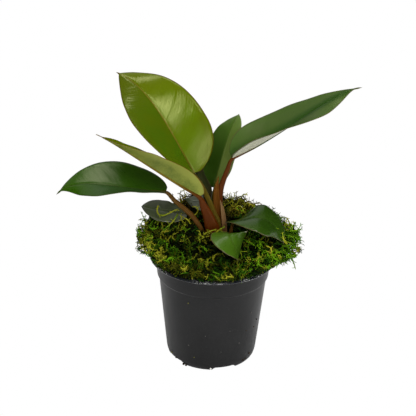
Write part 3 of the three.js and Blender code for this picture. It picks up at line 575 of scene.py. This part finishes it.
# Values that most skins share. Gloss is roughness, relief is in millimetres, and sheen tints the gloss.
PLAIN_SKIN = {"Rib Width": 0.8, "Margin Width": 0.5, "Mottle": 0.8, "Fade": 0.0, "Gloss": 0.4, "coat": 0.0,
              "relief": 0.08, "sheen": (1, 1, 0.8)}
SKINS = {
    # young: the right half is painted lighter than the left, painted light and shade on the two halves.
    "young": {"Left": (0.038, 0.086, 0.002), "Right": (0.083, 0.14, 0.0005), "Rib": (0.12, 0.09, 0.008),
              "Margin": (0.085, 0.045, 0.004), "Tinge": (0.072, 0.078, 0.0005), "Rib Width": 1.2,
              "Margin Width": 0.9, "Mottle": 0.45, "Fade": 0.62, "Gloss": 0.16, "relief": 0.2,
              "sheen": (1, 1, 0.42)},
    "young_under": {"Left": (0.12, 0.16, 0.02), "Right": (0.14, 0.18, 0.03), "Rib": (0.2, 0.09, 0.025),
                    "Margin": (0.12, 0.06, 0.015), "Tinge": (0.16, 0.2, 0.035), "Rib Width": 1.2,
                    "Margin Width": 0.8, "Mottle": 0.6, "Gloss": 0.42, "relief": 0.1, "sheen": (1, 1, 0.7)},
    "pale_under": {"Left": (0.062, 0.094, 0.002), "Rib": (0.14, 0.065, 0.01), "Margin": (0.14, 0.085, 0.015),
                   "Tinge": (0.2, 0.22, 0.032), "Rib Width": 0.9, "Margin Width": 0.7, "Mottle": 0.9,
                   "Fade": 0.5, "relief": 0.1, "sheen": (1, 1, 0.6)},
    "dark": {"Left": (0.008, 0.038, 0.0005), "Right": (0.01, 0.042, 0.0005), "Rib": (0.022, 0.042, 0.003),
             "Margin": (0.05, 0.045, 0.012), "Tinge": (0.024, 0.072, 0.001), "Mottle": 0.4, "Fade": 0.7,
             "Gloss": 0.24, "relief": 0.16, "sheen": (1, 1, 0.62)},
    "mid": {"Left": (0.028, 0.07, 0.003), "Right": (0.03, 0.072, 0.003), "Rib": (0.04, 0.075, 0.008),
            "Margin": (0.12, 0.09, 0.04), "Tinge": (0.045, 0.105, 0.006), "Rib Width": 0.7,
            "Margin Width": 0.6, "Mottle": 0.6, "Gloss": 0.24, "coat": 0.1},
    # long: a dark green Rib colour spread about 12 mm wide paints shade along the midrib fold.
    "long": {"Left": (0.033, 0.064, 0.009), "Right": (0.04, 0.07, 0.012), "Rib": (0.011, 0.044, 0.001),
             "Margin": (0.09, 0.065, 0.025), "Tinge": (0.03, 0.072, 0.005), "Rib Width": 12.0,
             "Margin Width": 0.6, "Mottle": 0.7, "Fade": 0.3, "Gloss": 0.38, "relief": 0.006,
             "sheen": (1, 1, 0.55)},
    "long_under": {"Left": (0.33, 0.335, 0.21), "Rib": (0.2, 0.1, 0.04), "Margin": (0.03, 0.055, 0.008),
                   "Tinge": (0.47, 0.47, 0.36), "Rib Width": 0.9, "Margin Width": 4.0},
    "deep": {"Left": (0.016, 0.045, 0.002), "Rib": (0.024, 0.052, 0.006), "Margin": (0.1, 0.075, 0.03),
             "Tinge": (0.024, 0.058, 0.004), "Rib Width": 0.6, "Mottle": 0.5, "Gloss": 0.24, "coat": 0.4},
    # This skin's dark left half is painted shade and its light right half a painted reflection.
    "half_shade_half_sheen": {"Left": (0.011, 0.033, 0.001), "Right": (0.115, 0.165, 0.028), "Rib": (0.06, 0.1, 0.015),
                 "Margin": (0.11, 0.13, 0.05), "Tinge": (0.06, 0.12, 0.015), "Rib Width": 0.7,
                 "Margin Width": 0.6, "Mottle": 0.1, "Fade": 0.75, "Gloss": 0.26, "sheen": (1, 1, 0.55)},
    "mid_under": {"Left": (0.33, 0.335, 0.21), "Rib": (0.2, 0.1, 0.04), "Margin": (0.2, 0.13, 0.06),
                  "Tinge": (0.45, 0.45, 0.34), "Rib Width": 0.9},
    "grey": {"Left": (0.028, 0.04, 0.013), "Rib": (0.036, 0.052, 0.02), "Margin": (0.05, 0.05, 0.03),
             "Tinge": (0.05, 0.06, 0.03), "Gloss": 0.26, "coat": 0.3, "relief": 0.1, "sheen": (1, 1, 0.9)},
}
leaf_finish = {}
for name, skin in SKINS.items():
    look = {**PLAIN_SKIN, "Right": skin["Left"], **skin}
    material, tree, shader = new_material("leaf_" + name, look["Gloss"], look["coat"], 0.2)
    shader.inputs["Specular Tint"].default_value = (*look["sheen"], 1)
    group = add_node(tree, "ShaderNodeGroup", node_tree=leaf_skin)
    for key, value in look.items():
        if key[0].isupper():
            group.inputs[key].default_value = (*value, 1) if isinstance(value, tuple) else value
    tree.links.new(group.outputs["Color"], shader.inputs["Base Color"])
    tree.links.new(group.outputs["Roughness"], shader.inputs["Roughness"])
    add_bump(tree, shader, group.outputs["Height"], 1, look["relief"] * MM)
    leaf_finish[name] = material

blades = []
for name, leaf in LEAVES.items():
    blade = blade_piece("leaf_" + name, leaf)
    blade.data.materials.append(leaf_finish[leaf["upper"]])
    blade.data.materials.append(leaf_finish[leaf["under"]])
    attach(blade, "root")
    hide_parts("blade_" + name)
    blades.append(blade)

# Stalks. Each leaf hangs on a fleshy red-brown stalk that widens into a clasping foot at the crown, is
# channelled on its upper side, and runs on under the blade as the tapering midrib.
STALK_SIDES = 18


def smooth_route(points, steps):
    """Evenly spaced places on a rounded line through points, each with its further values."""
    points = np.array(points, float)
    padded = np.vstack([2 * points[0] - points[1], points, 2 * points[-1] - points[-2]])
    fine = []
    for i in range(1, len(padded) - 2):
        a, b, c, d = padded[i - 1:i + 3]
        for u in np.linspace(0, 1, 24, endpoint=False):
            fine.append(0.5 * (2 * b + (c - a) * u + (2 * a - 5 * b + 4 * c - d) * u**2
                               + (3 * b - a - 3 * c + d) * u**3))
    fine.append(points[-1])
    fine = np.array(fine)
    walked = np.concatenate([[0], np.cumsum(np.linalg.norm(np.diff(fine[:, :3], axis=0), axis=1))])
    wanted = np.linspace(0, walked[-1], steps)
    return np.stack([np.interp(wanted, walked, fine[:, k]) for k in range(fine.shape[1])], 1)


def tube_piece(name, route, sides, channel=0.0):
    """A closed tube along a route of (x, y, z, half width, half depth, share of leaf) in millimetres."""
    line = route[:, :3]
    ahead = np.gradient(line, axis=0)
    ahead /= np.linalg.norm(ahead, axis=1, keepdims=True)
    wide = np.cross(ahead, [0, 1.0, 0])
    wide /= np.linalg.norm(wide, axis=1, keepdims=True)
    deep = np.cross(wide, ahead)
    turn = 2 * np.pi * np.arange(sides) / sides
    swell = 1 - channel * np.exp(-(((turn - 1.5 * np.pi) / 0.5) ** 2))
    across = np.cos(turn)[None, :, None] * wide[:, None] * route[:, 3, None, None]
    through = (np.sin(turn) * swell)[None, :, None] * deep[:, None] * route[:, 4, None, None]
    points = (line[:, None] + across + through).reshape(-1, 3)
    faces = []
    for i in range(len(line) - 1):
        for j in range(sides):
            a, b = i * sides + j, i * sides + (j + 1) % sides
            faces.append((a, b, b + sides, a + sides))
    faces.append(tuple(range(sides)))
    faces.append(tuple(range(len(points) - sides, len(points))))
    piece = closed_mesh(name, points * MM, faces)
    along = np.repeat(np.linspace(0, 1, len(line)), sides)
    piece.data.attributes.new("along", "FLOAT", "POINT").data.foreach_set("value", along)
    on_leaf = np.repeat(route[:, 5], sides)
    piece.data.attributes.new("on_leaf", "FLOAT", "POINT").data.foreach_set("value", on_leaf)
    return piece


def stalk_material(name, foot, middle, top, leaf_color):
    """Foot, middle and top colours of the stalk, which fade into the leaf's along the midrib."""
    material, tree, shader = new_material(name, 0.42, specular=0.16)
    shader.inputs["Specular Tint"].default_value = (1, 0.75, 0.5, 1)
    along = stored_value(tree, "along")
    on_leaf = stored_value(tree, "on_leaf")
    place = object_place(tree)
    cloud = noise_node(tree, place, 130, 4)
    stretch = drawn_out(tree, place, 0.08)
    lines = noise_node(tree, stretch, 1400, 3)
    shifted = math_node(tree, "MULTIPLY_ADD", cloud, 0.16, math_node(tree, "SUBTRACT", along, 0.08))
    color = ramp_node(tree, shifted, [(0.0, foot), (0.28, middle), (0.6, top)])
    streaked = blend_color(tree, math_node(tree, "MULTIPLY", step_mask(tree, lines, 0.45, 0.7), 0.35),
                           color, top)
    faded = blend_color(tree, step_mask(tree, on_leaf, 0.0, 0.25), streaked, leaf_color)
    tree.links.new(faded, shader.inputs["Base Color"])
    add_bump(tree, shader, lines, 0.35, 0.0002)
    return material


STALK_COLORS = {
    "red": ((0.036, 0.008, 0.0005), (0.062, 0.012, 0.0005), (0.075, 0.022, 0.001)),
    "olive": ((0.05, 0.026, 0.002), (0.065, 0.045, 0.003), (0.075, 0.06, 0.004)),
    "brown": ((0.045, 0.016, 0.002), (0.075, 0.033, 0.005), (0.065, 0.038, 0.006)),
}
stalks = []
for name, leaf in LEAVES.items():
    base, ahead, face, _ = leaf_directions(leaf, np.array(0.0))
    joint = base - 0.8 * ahead - 1.3 * face
    route = [(*place, 0) for place in leaf["stalk"]]
    route.append((*joint, leaf["rib"], leaf["rib"], 0))
    for s in (0.05, 0.16, 0.3, 0.46, 0.62, 0.78, 0.9):
        middle, _, face, _ = leaf_directions(leaf, np.array(s))
        size = leaf["rib"] * 0.75 * (1 - 0.82 * s**0.6)
        sunk = middle - face * size * 0.55
        route.append((*sunk, size, size, s))
    stalk = tube_piece("stem_" + name, smooth_route(route, 90), STALK_SIDES, channel=0.25)
    leaf_color = SKINS[leaf["upper"]]["Rib"]
    colors = STALK_COLORS[leaf["stalk_finish"]]
    stalk.data.materials.append(stalk_material("stalk_" + name, *colors, leaf_color))
    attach(stalk, "root")
    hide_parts("stalk_" + name)
    stalks.append(stalk)

# Crown. The short stub of stem that every stalk grows from, set in the soil and hidden by the moss.
crown_profile = [(0, 56), (4.5, 56.3), (6, 60), (9.5, 74), (10, 80), (9.6, 86), (9.9, 90), (9.5, 94),
                 (9.8, 96.5), (8.6, 98.8), (5, 99.4), (0, 99.4)]
crown_rings = turned_rings(crown_profile, 48)
for ring in crown_rings:
    ring[:, 0] += 3.5 * MM
crown = closed_mesh("crown_stub", *ring_faces(crown_rings, 48))
crown.data.materials.append(stalk_material("crown_skin", *STALK_COLORS["brown"], (0.05, 0.03, 0.01)))
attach(crown, "root")
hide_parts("crown")

# Sheaths. Each young leaf unrolls out of a papery pointed sheath that dries orange and stays standing
# against the stalks, with fine fibres running up it.
SHEATHS = {
    "sheath_orange": {"route": [(4, 2.2, 96, 2.4), (4, 2.2, 122, 2.6), (1.8, 1.8, 140, 2.6),
                                (1.4, 1.3, 152, 1.9), (2.8, 1.2, 163.5, 0.15)],
                      "foot": (0.045, 0.01, 0.0005), "tip": (0.1, 0.035, 0.002)},
    "sheath_pink": {"route": [(10, 0.5, 96, 1.6), (9.5, 0.5, 112, 2), (8.2, 0.8, 124, 1.9),
                              (6.8, 1, 134, 1.4), (4.8, 1.5, 142, 0.15)],
                    "foot": (0.08, 0.025, 0.006), "tip": (0.2, 0.12, 0.05)},
    "sheath_back": {"route": [(-4, 8.4, 96, 2), (-6.2, 9, 122, 2.5), (-6, 10.6, 138, 3.1),
                              (-6.6, 12.4, 147, 4.3), (-10.2, 14.7, 154, 3.9), (-13.1, 17, 160.5, 3.7),
                              (-12.9, 18.5, 166.8, 0.8)],
                    "foot": (0.05, 0.02, 0.008), "tip": (0.012, 0.022, 0.005)},
}


def sheath_piece(name, route, steps=44, across=9):
    line = smooth_route([(*p, 0.35) for p in route], steps)
    ahead = np.gradient(line[:, :3], axis=0)
    ahead /= np.linalg.norm(ahead, axis=1, keepdims=True)
    wide = np.cross(ahead, [0, 1.0, 0])
    wide /= np.linalg.norm(wide, axis=1, keepdims=True)
    deep = np.cross(wide, ahead)
    outer = []
    for i in range(steps):
        for j in range(across):
            t = 2 * j / (across - 1) - 1
            width = line[i, 3]
            bowed = 0.35 * width * (1 - t * t)
            outer.append(line[i, :3] + wide[i] * t * width + deep[i] * bowed)
    outer = np.array(outer)
    inner = outer - np.repeat(deep, across, axis=0) * 0.28
    points = np.vstack([outer, inner])
    below = steps * across
    faces = []
    for i in range(steps - 1):
        for j in range(across - 1):
            a = i * across + j
            faces.append((a, a + 1, a + across + 1, a + across))
            faces.append((below + a, below + a + across, below + a + across + 1, below + a + 1))
        for a in (i * across, i * across + across - 1):
            faces.append((a, a + across, below + a + across, below + a))
    for j in range(across - 1):
        for a in (j, (steps - 1) * across + j):
            faces.append((a, a + 1, below + a + 1, below + a))
    piece = closed_mesh(name, points * MM, faces)
    along = list(np.repeat(np.linspace(0, 1, steps), across)) * 2
    piece.data.attributes.new("along", "FLOAT", "POINT").data.foreach_set("value", along)
    return piece


for name, sheath in SHEATHS.items():
    material, tree, shader = new_material(name + "_paper", 0.6, specular=0.2)
    shader.inputs["Specular Tint"].default_value = (1, 0.8, 0.5, 1)
    along = stored_value(tree, "along")
    place = object_place(tree)
    stretch = drawn_out(tree, place, 0.06)
    fibres = noise_node(tree, stretch, 1700, 4)
    color = ramp_node(tree, along, [(0.15, sheath["foot"]), (0.8, sheath["tip"])])
    streaked = blend_color(tree, math_node(tree, "MULTIPLY", step_mask(tree, fibres, 0.4, 0.7), 0.4),
                           color, sheath["foot"])
    tree.links.new(streaked, shader.inputs["Base Color"])
    add_bump(tree, shader, fibres, 0.5, 0.0003)
    piece = sheath_piece("papery_" + name, sheath["route"])
    piece.data.materials.append(material)
    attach(piece, "root")
    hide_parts(name)
    stalks.append(piece)

# Moss. Dried and dyed sheet moss, pulled into loose handfuls and packed round the stalks over the soil,
# low at the front and high behind. It is a tangle of curly strands with short side shoots.
MOSS_INNER = 9
LIP_REST = 93.8
BED_DEPTH = 6.5
EDGE_STRANDS = 0.26
SHOOT_RADIUS = 0.34
FROND_RADIUS = 0.75
FROND_TONE = 0.72
FROND_HUE = 0.7
# Colour ramps run from deep in the tangle, where near-black is painted shade, to the brightest tips.
MOSS_GREENS = [(0.002, 0.006, 0.0002), (0.015, 0.058, 0.0004), (0.12, 0.27, 0.004)]
MOSS_YELLOWS = [(0.004, 0.005, 0.0002), (0.052, 0.058, 0.0006), (0.33, 0.33, 0.02)]
MOSS_BROWNS = [(0.003, 0.003, 0.0002), (0.026, 0.02, 0.001), (0.24, 0.19, 0.015)]
# Each clump's shade value darkens all its strands as painted shade; its tips value lightens strands that
# stand up, as painted light.
CLUMPS = {
    "moss_front": {"from": -52, "to": 52, "edge": 95, "length": (9, 16), "strands": 520, "seed": 11,
                   "colors": (MOSS_GREENS, MOSS_YELLOWS), "yellow": 0.42, "painted_shade": 0.24, "painted_tip_light": 0.1,
                   "slot": "moss_olive",
                   "fronds": [[(-10, -13, 112), (-8, -13, 117), (-3, -12.5, 120), (2, -12, 121.5)],
                              [(-3, -13.5, 112), (1, -13, 118), (5, -12.5, 122), (9, -12, 124)],
                              [(1, -14, 112), (5, -14, 116), (10, -13, 118.5)],
                              [(-13, -12, 111), (-11, -12, 116), (-12.5, -11, 120)],
                              [(7, -14, 111), (3, -14, 116), (-2, -13.5, 118)],
                              [(-6, -14, 109), (-9, -14, 113), (-5, -13.5, 116)]]},
    "moss_right": {"from": 52, "to": 128, "edge": 100, "length": (11, 20), "strands": 560, "seed": 23,
                   "colors": (MOSS_GREENS, MOSS_YELLOWS), "yellow": 0.15, "painted_shade": 0.15, "painted_tip_light": 0.5,
                   "slot": "moss_green",
                   "fronds": [[(57, -14, 106), (62, -15, 101), (67, -15, 94), (69, -15, 87.5)]]},
    "moss_back": {"from": 128, "to": 232, "edge": 102, "length": (11, 20), "strands": 620, "seed": 37,
                  "colors": (MOSS_BROWNS, MOSS_YELLOWS), "yellow": 0.42, "painted_shade": 0.18, "painted_tip_light": 0.6,
                  "slot": "moss_olive",
                  "fronds": []},
    "moss_left": {"from": 232, "to": 308, "edge": 101, "length": (10, 18), "strands": 560, "seed": 53,
                  "colors": (MOSS_GREENS, MOSS_YELLOWS), "yellow": 0.36, "painted_shade": 0.15, "painted_tip_light": 0.4,
                   "slot": "moss_green",
                  "fronds": [[(-46.5, -1, 137), (-47.5, -3, 133.5), (-45.7, -5, 130.2), (-41.6, -5, 129.9),
                              (-36.7, -3, 131.3), (-32.6, -2, 133.7), (-29, -1, 133)],
                             [(-30, -6, 132), (-34, -8, 126), (-38, -12, 123.5), (-42, -14, 120)]]},
}


def moss_reach(angle):
    """How far out the moss goes: to the lip in front, and well past it on both sides."""
    sideways = np.sin(angle)
    return 48 + 8 * np.sin(angle / 2) ** 2 + np.where(sideways > 0, 18, 9) * sideways**8


def smooth_rise(value, start, end):
    share = np.clip((value - start) / (end - start), 0, 1)
    return share * share * (3 - 2 * share)


def moss_top(x, y, share, edge):
    """Height of the moss: low at the front, banked up round the stalks, and high behind."""
    height = 97 + 24 * smooth_rise(y, -30, 2) + 4 * smooth_rise(y, 5, 42)
    height = height + 8 * np.exp(-((x + 15) ** 2 + (y + 5) ** 2) / 90)
    height = height - 9 * np.exp(-((x - 17) ** 2 + (y + 9) ** 2) / 110)
    lumps = np.sin(x * 0.31 + 1) * np.cos(y * 0.27) + 0.6 * np.sin(x * 0.53 - y * 0.47)
    dome = np.clip(1 - share**5, 0, 1) ** 0.6
    return edge + (height - edge) * dome + 2.2 * lumps * np.clip(dome * 2, 0, 1)


def moss_place(angle, share, edge):
    radius = MOSS_INNER + (moss_reach(angle) - MOSS_INNER) * share
    x, y = np.sin(angle) * radius, -np.cos(angle) * radius
    return np.stack([x, y, moss_top(x, y, share, edge)], -1)


def moss_bed(clump):
    """The close-packed bed that the loose strands stand out of, as a closed wedge, coloured near-black as
    painted shade.
    """
    steps, radial = 30, 12
    angles = np.radians(np.linspace(clump["from"], clump["to"], steps))
    sections = []
    for angle in angles:
        share = np.linspace(0, 0.9, radial)
        top = moss_place(np.full(radial, angle), share, clump["edge"]) - [0, 0, BED_DEPTH]
        reach = moss_reach(angle) * 0.88
        out = np.array([math.sin(angle), -math.cos(angle)])
        under = [(reach, clump["edge"] - 3), (49.5, 93.3), (46.3, 93.3), (46.2, 86.4), (MOSS_INNER, 86.4)]
        sections.append(np.vstack([top, [(*(out * radius), height) for radius, height in under]]))
    loop = len(sections[0])
    points = np.vstack(sections)
    faces = []
    for i in range(steps - 1):
        for j in range(loop):
            k = (j + 1) % loop
            faces.append((i * loop + j, (i + 1) * loop + j, (i + 1) * loop + k, i * loop + k))
    faces.append(tuple(range(loop)))
    faces.append(tuple(range(len(points) - loop, len(points))))
    return points, faces


def unit(vectors):
    return vectors / np.maximum(np.linalg.norm(vectors, axis=-1, keepdims=True), 1e-9)


def tangle(dice, roots, out, length, steps, curl, sag):
    """Curly lines from roots: each turns steadily about its own axis, wanders, and sags a little."""
    count = len(roots)
    line = [roots]
    heading = unit(out)
    axis = unit(dice.normal(size=(count, 3)))
    turn = dice.uniform(0.5, 1.0, count)[:, None] * curl
    step = (length / steps)[:, None]
    for _ in range(steps):
        heading = unit(heading + np.cross(axis, heading) * turn + dice.normal(0, 0.16, (count, 3)))
        heading[:, 2] -= sag
        axis = unit(axis + dice.normal(0, 0.25, (count, 3)))
        line.append(line[-1] + unit(heading) * step)
    return np.stack(line, 1)


def thin_tubes(lines, radius, sides, taper):
    """Points and faces of many closed thin tubes. lines is tubes by places by 3, in millimetres."""
    tubes, places, _ = lines.shape
    ahead = unit(np.gradient(lines, axis=1))
    side = unit(np.cross(ahead, [0.31, 0.22, 0.92]))
    other = np.cross(ahead, side)
    share = np.linspace(0, 1, places)
    size = radius[:, None] * (1 - taper * share**1.6)[None]
    turn = np.arange(sides) * 2 * np.pi / sides
    ring = (np.cos(turn)[:, None] * side[:, :, None] + np.sin(turn)[:, None] * other[:, :, None])
    points = lines[:, :, None] + ring * size[:, :, None, None]
    base = np.arange(tubes)[:, None, None] * places * sides
    along = (np.arange(places - 1) * sides)[None, :, None]
    low = base + along + np.arange(sides)[None, None]
    beside = base + along + ((np.arange(sides) + 1) % sides)[None, None]
    walls = np.stack([low, beside, beside + sides, low + sides], -1).reshape(-1, 4)
    first = np.arange(tubes)[:, None] * places * sides
    foot = first + np.arange(sides)[::-1]
    end = first + (places - 1) * sides + np.arange(sides)
    return points.reshape(-1, 3), walls, np.vstack([foot, end])


bushes = bmesh.new()
for piece in [*blades, *stalks]:
    bushes.from_mesh(piece.data)
in_the_way = BVHTree.FromBMesh(bushes)
bushes.free()


def clear_of_leaves(lines):
    """Which lines cross no blade, stalk or sheath."""
    keep = np.ones(len(lines), bool)
    for index, line in enumerate(lines * MM):
        for start, end in zip(line[:-1], line[1:]):
            step = Vector(end - start)
            if in_the_way.ray_cast(Vector(start), step.normalized(), step.length + 0.4 * MM)[0]:
                keep[index] = False
                break
    return keep


def strand_roots(dice, clump):
    """Where strands start, which way they set off, and how near the top of the tangle each lies."""
    count = clump["strands"]
    angle = np.radians(dice.uniform(clump["from"], clump["to"], count))
    at_edge = dice.uniform(0, 1, count) < EDGE_STRANDS
    share = np.where(at_edge, dice.uniform(0.84, 1.0, count), np.sqrt(dice.uniform(0, 1, count)) * 0.95)
    roots = moss_place(angle, share, clump["edge"])
    depth = dice.uniform(0, 1, count) ** 0.75
    roots[:, 2] += 0.8 - 7 * depth
    swing = angle + np.where(at_edge, dice.uniform(-1.3, 1.3, count), dice.uniform(-3.1, 3.1, count))
    rise = np.where(at_edge, dice.uniform(-0.2, 0.6, count), dice.uniform(-0.1, 0.7, count))
    return roots, np.stack([np.sin(swing), -np.cos(swing), rise], 1), 1 - depth


def keep_on_pot(lines):
    """Strands rest on the lip in front and stand out past it only a little further than the moss does."""
    angle = np.arctan2(lines[..., 0], -lines[..., 1])
    radius = np.hypot(lines[..., 0], lines[..., 1])
    limit = moss_reach(angle) + 1 + 2.5 * (1 - np.cos(angle)) - 3.5 * np.exp(-((angle + 1.0) / 0.35) ** 2)
    inside = np.where(radius > limit, limit + 0.2 * (radius - limit), radius)
    lines[..., :2] *= (inside / radius)[..., None]
    lowest = LIP_REST + 5.5 * smooth_rise(inside, 50, 56)
    lines[..., 2] = np.where(inside > 44, np.maximum(lines[..., 2], lowest), lines[..., 2])
    return lines


def moss_material(name, colors, yellow):
    """Two sets of three colours, from deep in the tangle to its tips, that change over in patches."""
    material, tree, shader = new_material(name, 0.7, specular=0.1)
    tone = stored_value(tree, "tone")
    hue = stored_value(tree, "hue")
    place = object_place(tree)
    patch = noise_node(tree, place, 60, 2)
    grain = noise_node(tree, place, 1500, 2)
    mixed = math_node(tree, "MULTIPLY_ADD", patch, 0.5, math_node(tree, "SUBTRACT", tone, 0.35))
    mixed = math_node(tree, "MULTIPLY_ADD", grain, 0.2, mixed)
    first, second = (ramp_node(tree, mixed, list(zip((0.3, 0.62, 1.0), stops))) for stops in colors)
    turned = math_node(tree, "MULTIPLY_ADD", patch, 1.2, math_node(tree, "SUBTRACT", hue, 0.6))
    share = step_mask(tree, turned, 0.85 - yellow, 1.15 - yellow)
    tree.links.new(blend_color(tree, share, first, second), shader.inputs["Base Color"])
    add_bump(tree, shader, grain, 0.5, 0.0002)
    return material


def moss_piece(name, clump):
    """Fronds like small ferns: a curly stem with short side shoots in pairs, over the bed that is painted
    dark as shade.
    """
    dice = np.random.default_rng(clump["seed"])
    roots, out, height = strand_roots(dice, clump)
    length = dice.uniform(*clump["length"], len(roots))
    lines = keep_on_pot(tangle(dice, roots, out, length, 9, 0.7, 0.04))
    keep = clear_of_leaves(lines)
    lines, height = lines[keep], height[keep]
    count = len(lines)
    out_past = smooth_rise(np.hypot(lines[:, -1, 0], lines[:, -1, 1]), 50, 62)
    ends_x, ends_y = lines[:, -1, 0], lines[:, -1, 1]
    near_rim = smooth_rise(np.hypot(ends_x, ends_y), 34, 46) * smooth_rise(-ends_y, 4, 24)
    # Strands that stand up get a lighter, yellower tone: painted light on the tips.
    lit_standing_tips = smooth_rise(lines[:, -1, 2] - lines[:, 0, 2], 1, 7) * height * clump["painted_tip_light"]
    # Tone is partly painted: deeper strands, and each clump's painted shade, make strands darker; strands out
    # past the lip and by the front rim are made lighter.
    tone = dice.uniform(0, 0.5, count) + 0.55 * height + 0.22 * out_past + 0.14 * near_rim - clump["painted_shade"]
    tone = tone + 0.5 * lit_standing_tips
    hue = dice.uniform(0, 1, count) + 0.3 * near_rim * smooth_rise(-ends_x, -20, 10) + 0.5 * lit_standing_tips
    radius = dice.uniform(0.4, 0.75, count)
    if clump["fronds"]:
        extra = len(clump["fronds"])
        lines = np.concatenate([lines, [smooth_route(route, 10) for route in clump["fronds"]]])
        tone = np.append(tone, np.full(extra, FROND_TONE))
        hue = np.append(hue, np.full(extra, FROND_HUE))
        radius = np.append(radius, np.full(extra, FROND_RADIUS))
        count += extra
    ahead = unit(np.gradient(lines, axis=1))
    flat = unit(np.cross(ahead, unit(dice.normal(size=(count, 1, 3)))))
    shoots = []
    for place in (3, 5, 6, 8):
        for hand in (-1, 1):
            aim = ahead[:, place] * 0.8 + hand * flat[:, place] + dice.normal(0, 0.25, (count, 3))
            reach = dice.uniform(1.6, 5.0, count) * (1.2 - 0.06 * place)
            shoots.append(tangle(dice, lines[:, place], aim, reach, 3, 0.5, 0.0))
    shoots = np.concatenate(shoots)
    points, walls, ends = thin_tubes(lines, radius, 4, 0.6)
    shoot_points, shoot_walls, shoot_ends = thin_tubes(shoots, np.repeat(SHOOT_RADIUS, len(shoots)), 3, 0.5)
    bed_points, bed_faces = moss_bed(clump)
    all_points = np.vstack([points, shoot_points, bed_points])
    shift = len(points)
    deep = shift + len(shoot_points)
    faces = [*walls.tolist(), *ends.tolist(), *(shoot_walls + shift).tolist(), *(shoot_ends + shift).tolist()]
    strand_faces = len(faces)
    faces.extend(tuple(v + deep for v in face) for face in bed_faces)
    stem_tones = np.repeat(tone[:, None] + 0.15 * np.linspace(0, 1, 10)[None], 4, axis=1)
    shoot_tones = np.repeat(np.tile(tone, 8)[:, None] + 0.2 * np.linspace(0, 1, 4)[None], 3, axis=1)
    tones = np.concatenate([stem_tones.ravel(), shoot_tones.ravel(), np.zeros(len(bed_points))])
    hues = np.concatenate([np.repeat(hue, 40), np.repeat(np.tile(hue, 8), 12), np.zeros(len(bed_points))])
    mesh = bpy.data.meshes.new(name)
    mesh.from_pydata((all_points * MM).tolist(), [], faces)
    mesh.attributes.new("tone", "FLOAT", "POINT").data.foreach_set("value", tones)
    mesh.attributes.new("hue", "FLOAT", "POINT").data.foreach_set("value", hues)
    finish = np.zeros(len(faces), int)
    finish[strand_faces:] = 1
    mesh.polygons.foreach_set("material_index", finish)
    mesh.update()
    piece = bpy.data.objects.new(name, mesh)
    scene.collection.objects.link(piece)
    piece.data.materials.append(moss_material(name + "_strands", clump["colors"], clump["yellow"]))
    piece.data.materials.append(moss_bed_painted_shade)
    return piece


# The bed is near-black: painted shade deep under the strands.
moss_bed_painted_shade, tree, shader = new_material("moss_bed_painted_shade", 0.95, specular=0.1)
place = object_place(tree)
cloud = noise_node(tree, place, 300, 5)
dark = ramp_node(tree, cloud, [(0.35, (0.001, 0.002, 0.0003)), (0.7, (0.006, 0.009, 0.001))])
tree.links.new(dark, shader.inputs["Base Color"])
add_bump(tree, shader, cloud, 1, 0.002)
for name, clump in CLUMPS.items():
    piece = moss_piece("loose_" + name, clump)
    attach(piece, "root")
    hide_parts(name)

# Floor. A plain white sweep, as wide as the view. The camera sees it as pure white paper, and for all
# other light it is an ordinary matt white surface.
floor_mesh = bpy.data.meshes.new("floor")
floor_mesh.from_pydata([(-6, -6, 0), (6, -6, 0), (6, 6, 0), (-6, 6, 0)], [], [(0, 1, 2, 3)])
floor = bpy.data.objects.new("floor", floor_mesh)
scene.collection.objects.link(floor)
white, tree, shader = new_material("white_sweep", 0.9, specular=0.1)
shader.inputs["Base Color"].default_value = (0.85, 0.85, 0.85, 1)
paper = add_node(tree, "ShaderNodeEmission", {"Color": (1, 1, 1, 1), "Strength": 1.0})
seen = add_node(tree, "ShaderNodeLightPath").outputs["Is Camera Ray"]
mixed = add_node(tree, "ShaderNodeMixShader", {0: seen, 1: shader.outputs[0], 2: paper.outputs[0]})
tree.links.new(mixed.outputs[0], tree.nodes["Material Output"].inputs["Surface"])
floor.data.materials.append(white)

# Light. A narrow strip and a low card at the front right, a box overhead and a pale screen behind on the
# left are mirrored in the leaves. Broad soft lights do the rest. The camera sees the room as white paper.
LIGHTS_AIM = Vector((0, 0, 0.14))
LIGHTS = [
    ("strip", 14, 35, 1.15, 0.13, 0.66, 4.4, True),
    ("card", 27, -13, 0.5, 0.3, 0.08, 0.2, True),
    ("overhead", 165, 80, 1.2, 0.36, 0.36, 2.2, True),
    ("screen", 205, 42, 1.3, 1.7, 1.0, 2.3, True),
    ("soft_key", 40, 45, 1.3, 0.7, 0.7, 9.5, False),
    ("soft_top", 250, 80, 1.3, 1.0, 1.0, 7.0, False),
    ("soft_front", -25, 25, 1.6, 1.2, 1.0, 5.0, False),
]
for name, around, up, distance, wide, tall, power, mirrored in LIGHTS:
    around, up = math.radians(around), math.radians(up)
    lamp = bpy.data.lights.new(name, "AREA")
    lamp.shape = "RECTANGLE"
    lamp.size = wide
    lamp.size_y = tall
    lamp.energy = power
    light = bpy.data.objects.new(name, lamp)
    aim = Vector((math.sin(around) * math.cos(up), -math.cos(around) * math.cos(up), math.sin(up)))
    light.location = LIGHTS_AIM + aim * distance
    light.rotation_euler = aim.to_track_quat("Z", "Y").to_euler()
    light.visible_camera = False
    light.visible_glossy = mirrored
    scene.collection.objects.link(light)
surround = bpy.data.worlds.new("surround")
surround.use_nodes = True
tree = surround.node_tree
dim = tree.nodes["Background"]
dim.inputs["Color"].default_value = (1, 1, 1, 1)
dim.inputs["Strength"].default_value = 0.16
paper = add_node(tree, "ShaderNodeBackground", {"Color": (1, 1, 1, 1), "Strength": 1.0})
seen = add_node(tree, "ShaderNodeLightPath").outputs["Is Camera Ray"]
mixed = add_node(tree, "ShaderNodeMixShader", {0: seen, 1: dim.outputs[0], 2: paper.outputs[0]})
tree.links.new(mixed.outputs[0], tree.nodes["World Output"].inputs["Surface"])
surround.cycles_visibility.glossy = False
scene.world = surround
scene.view_settings.view_transform = "Standard"
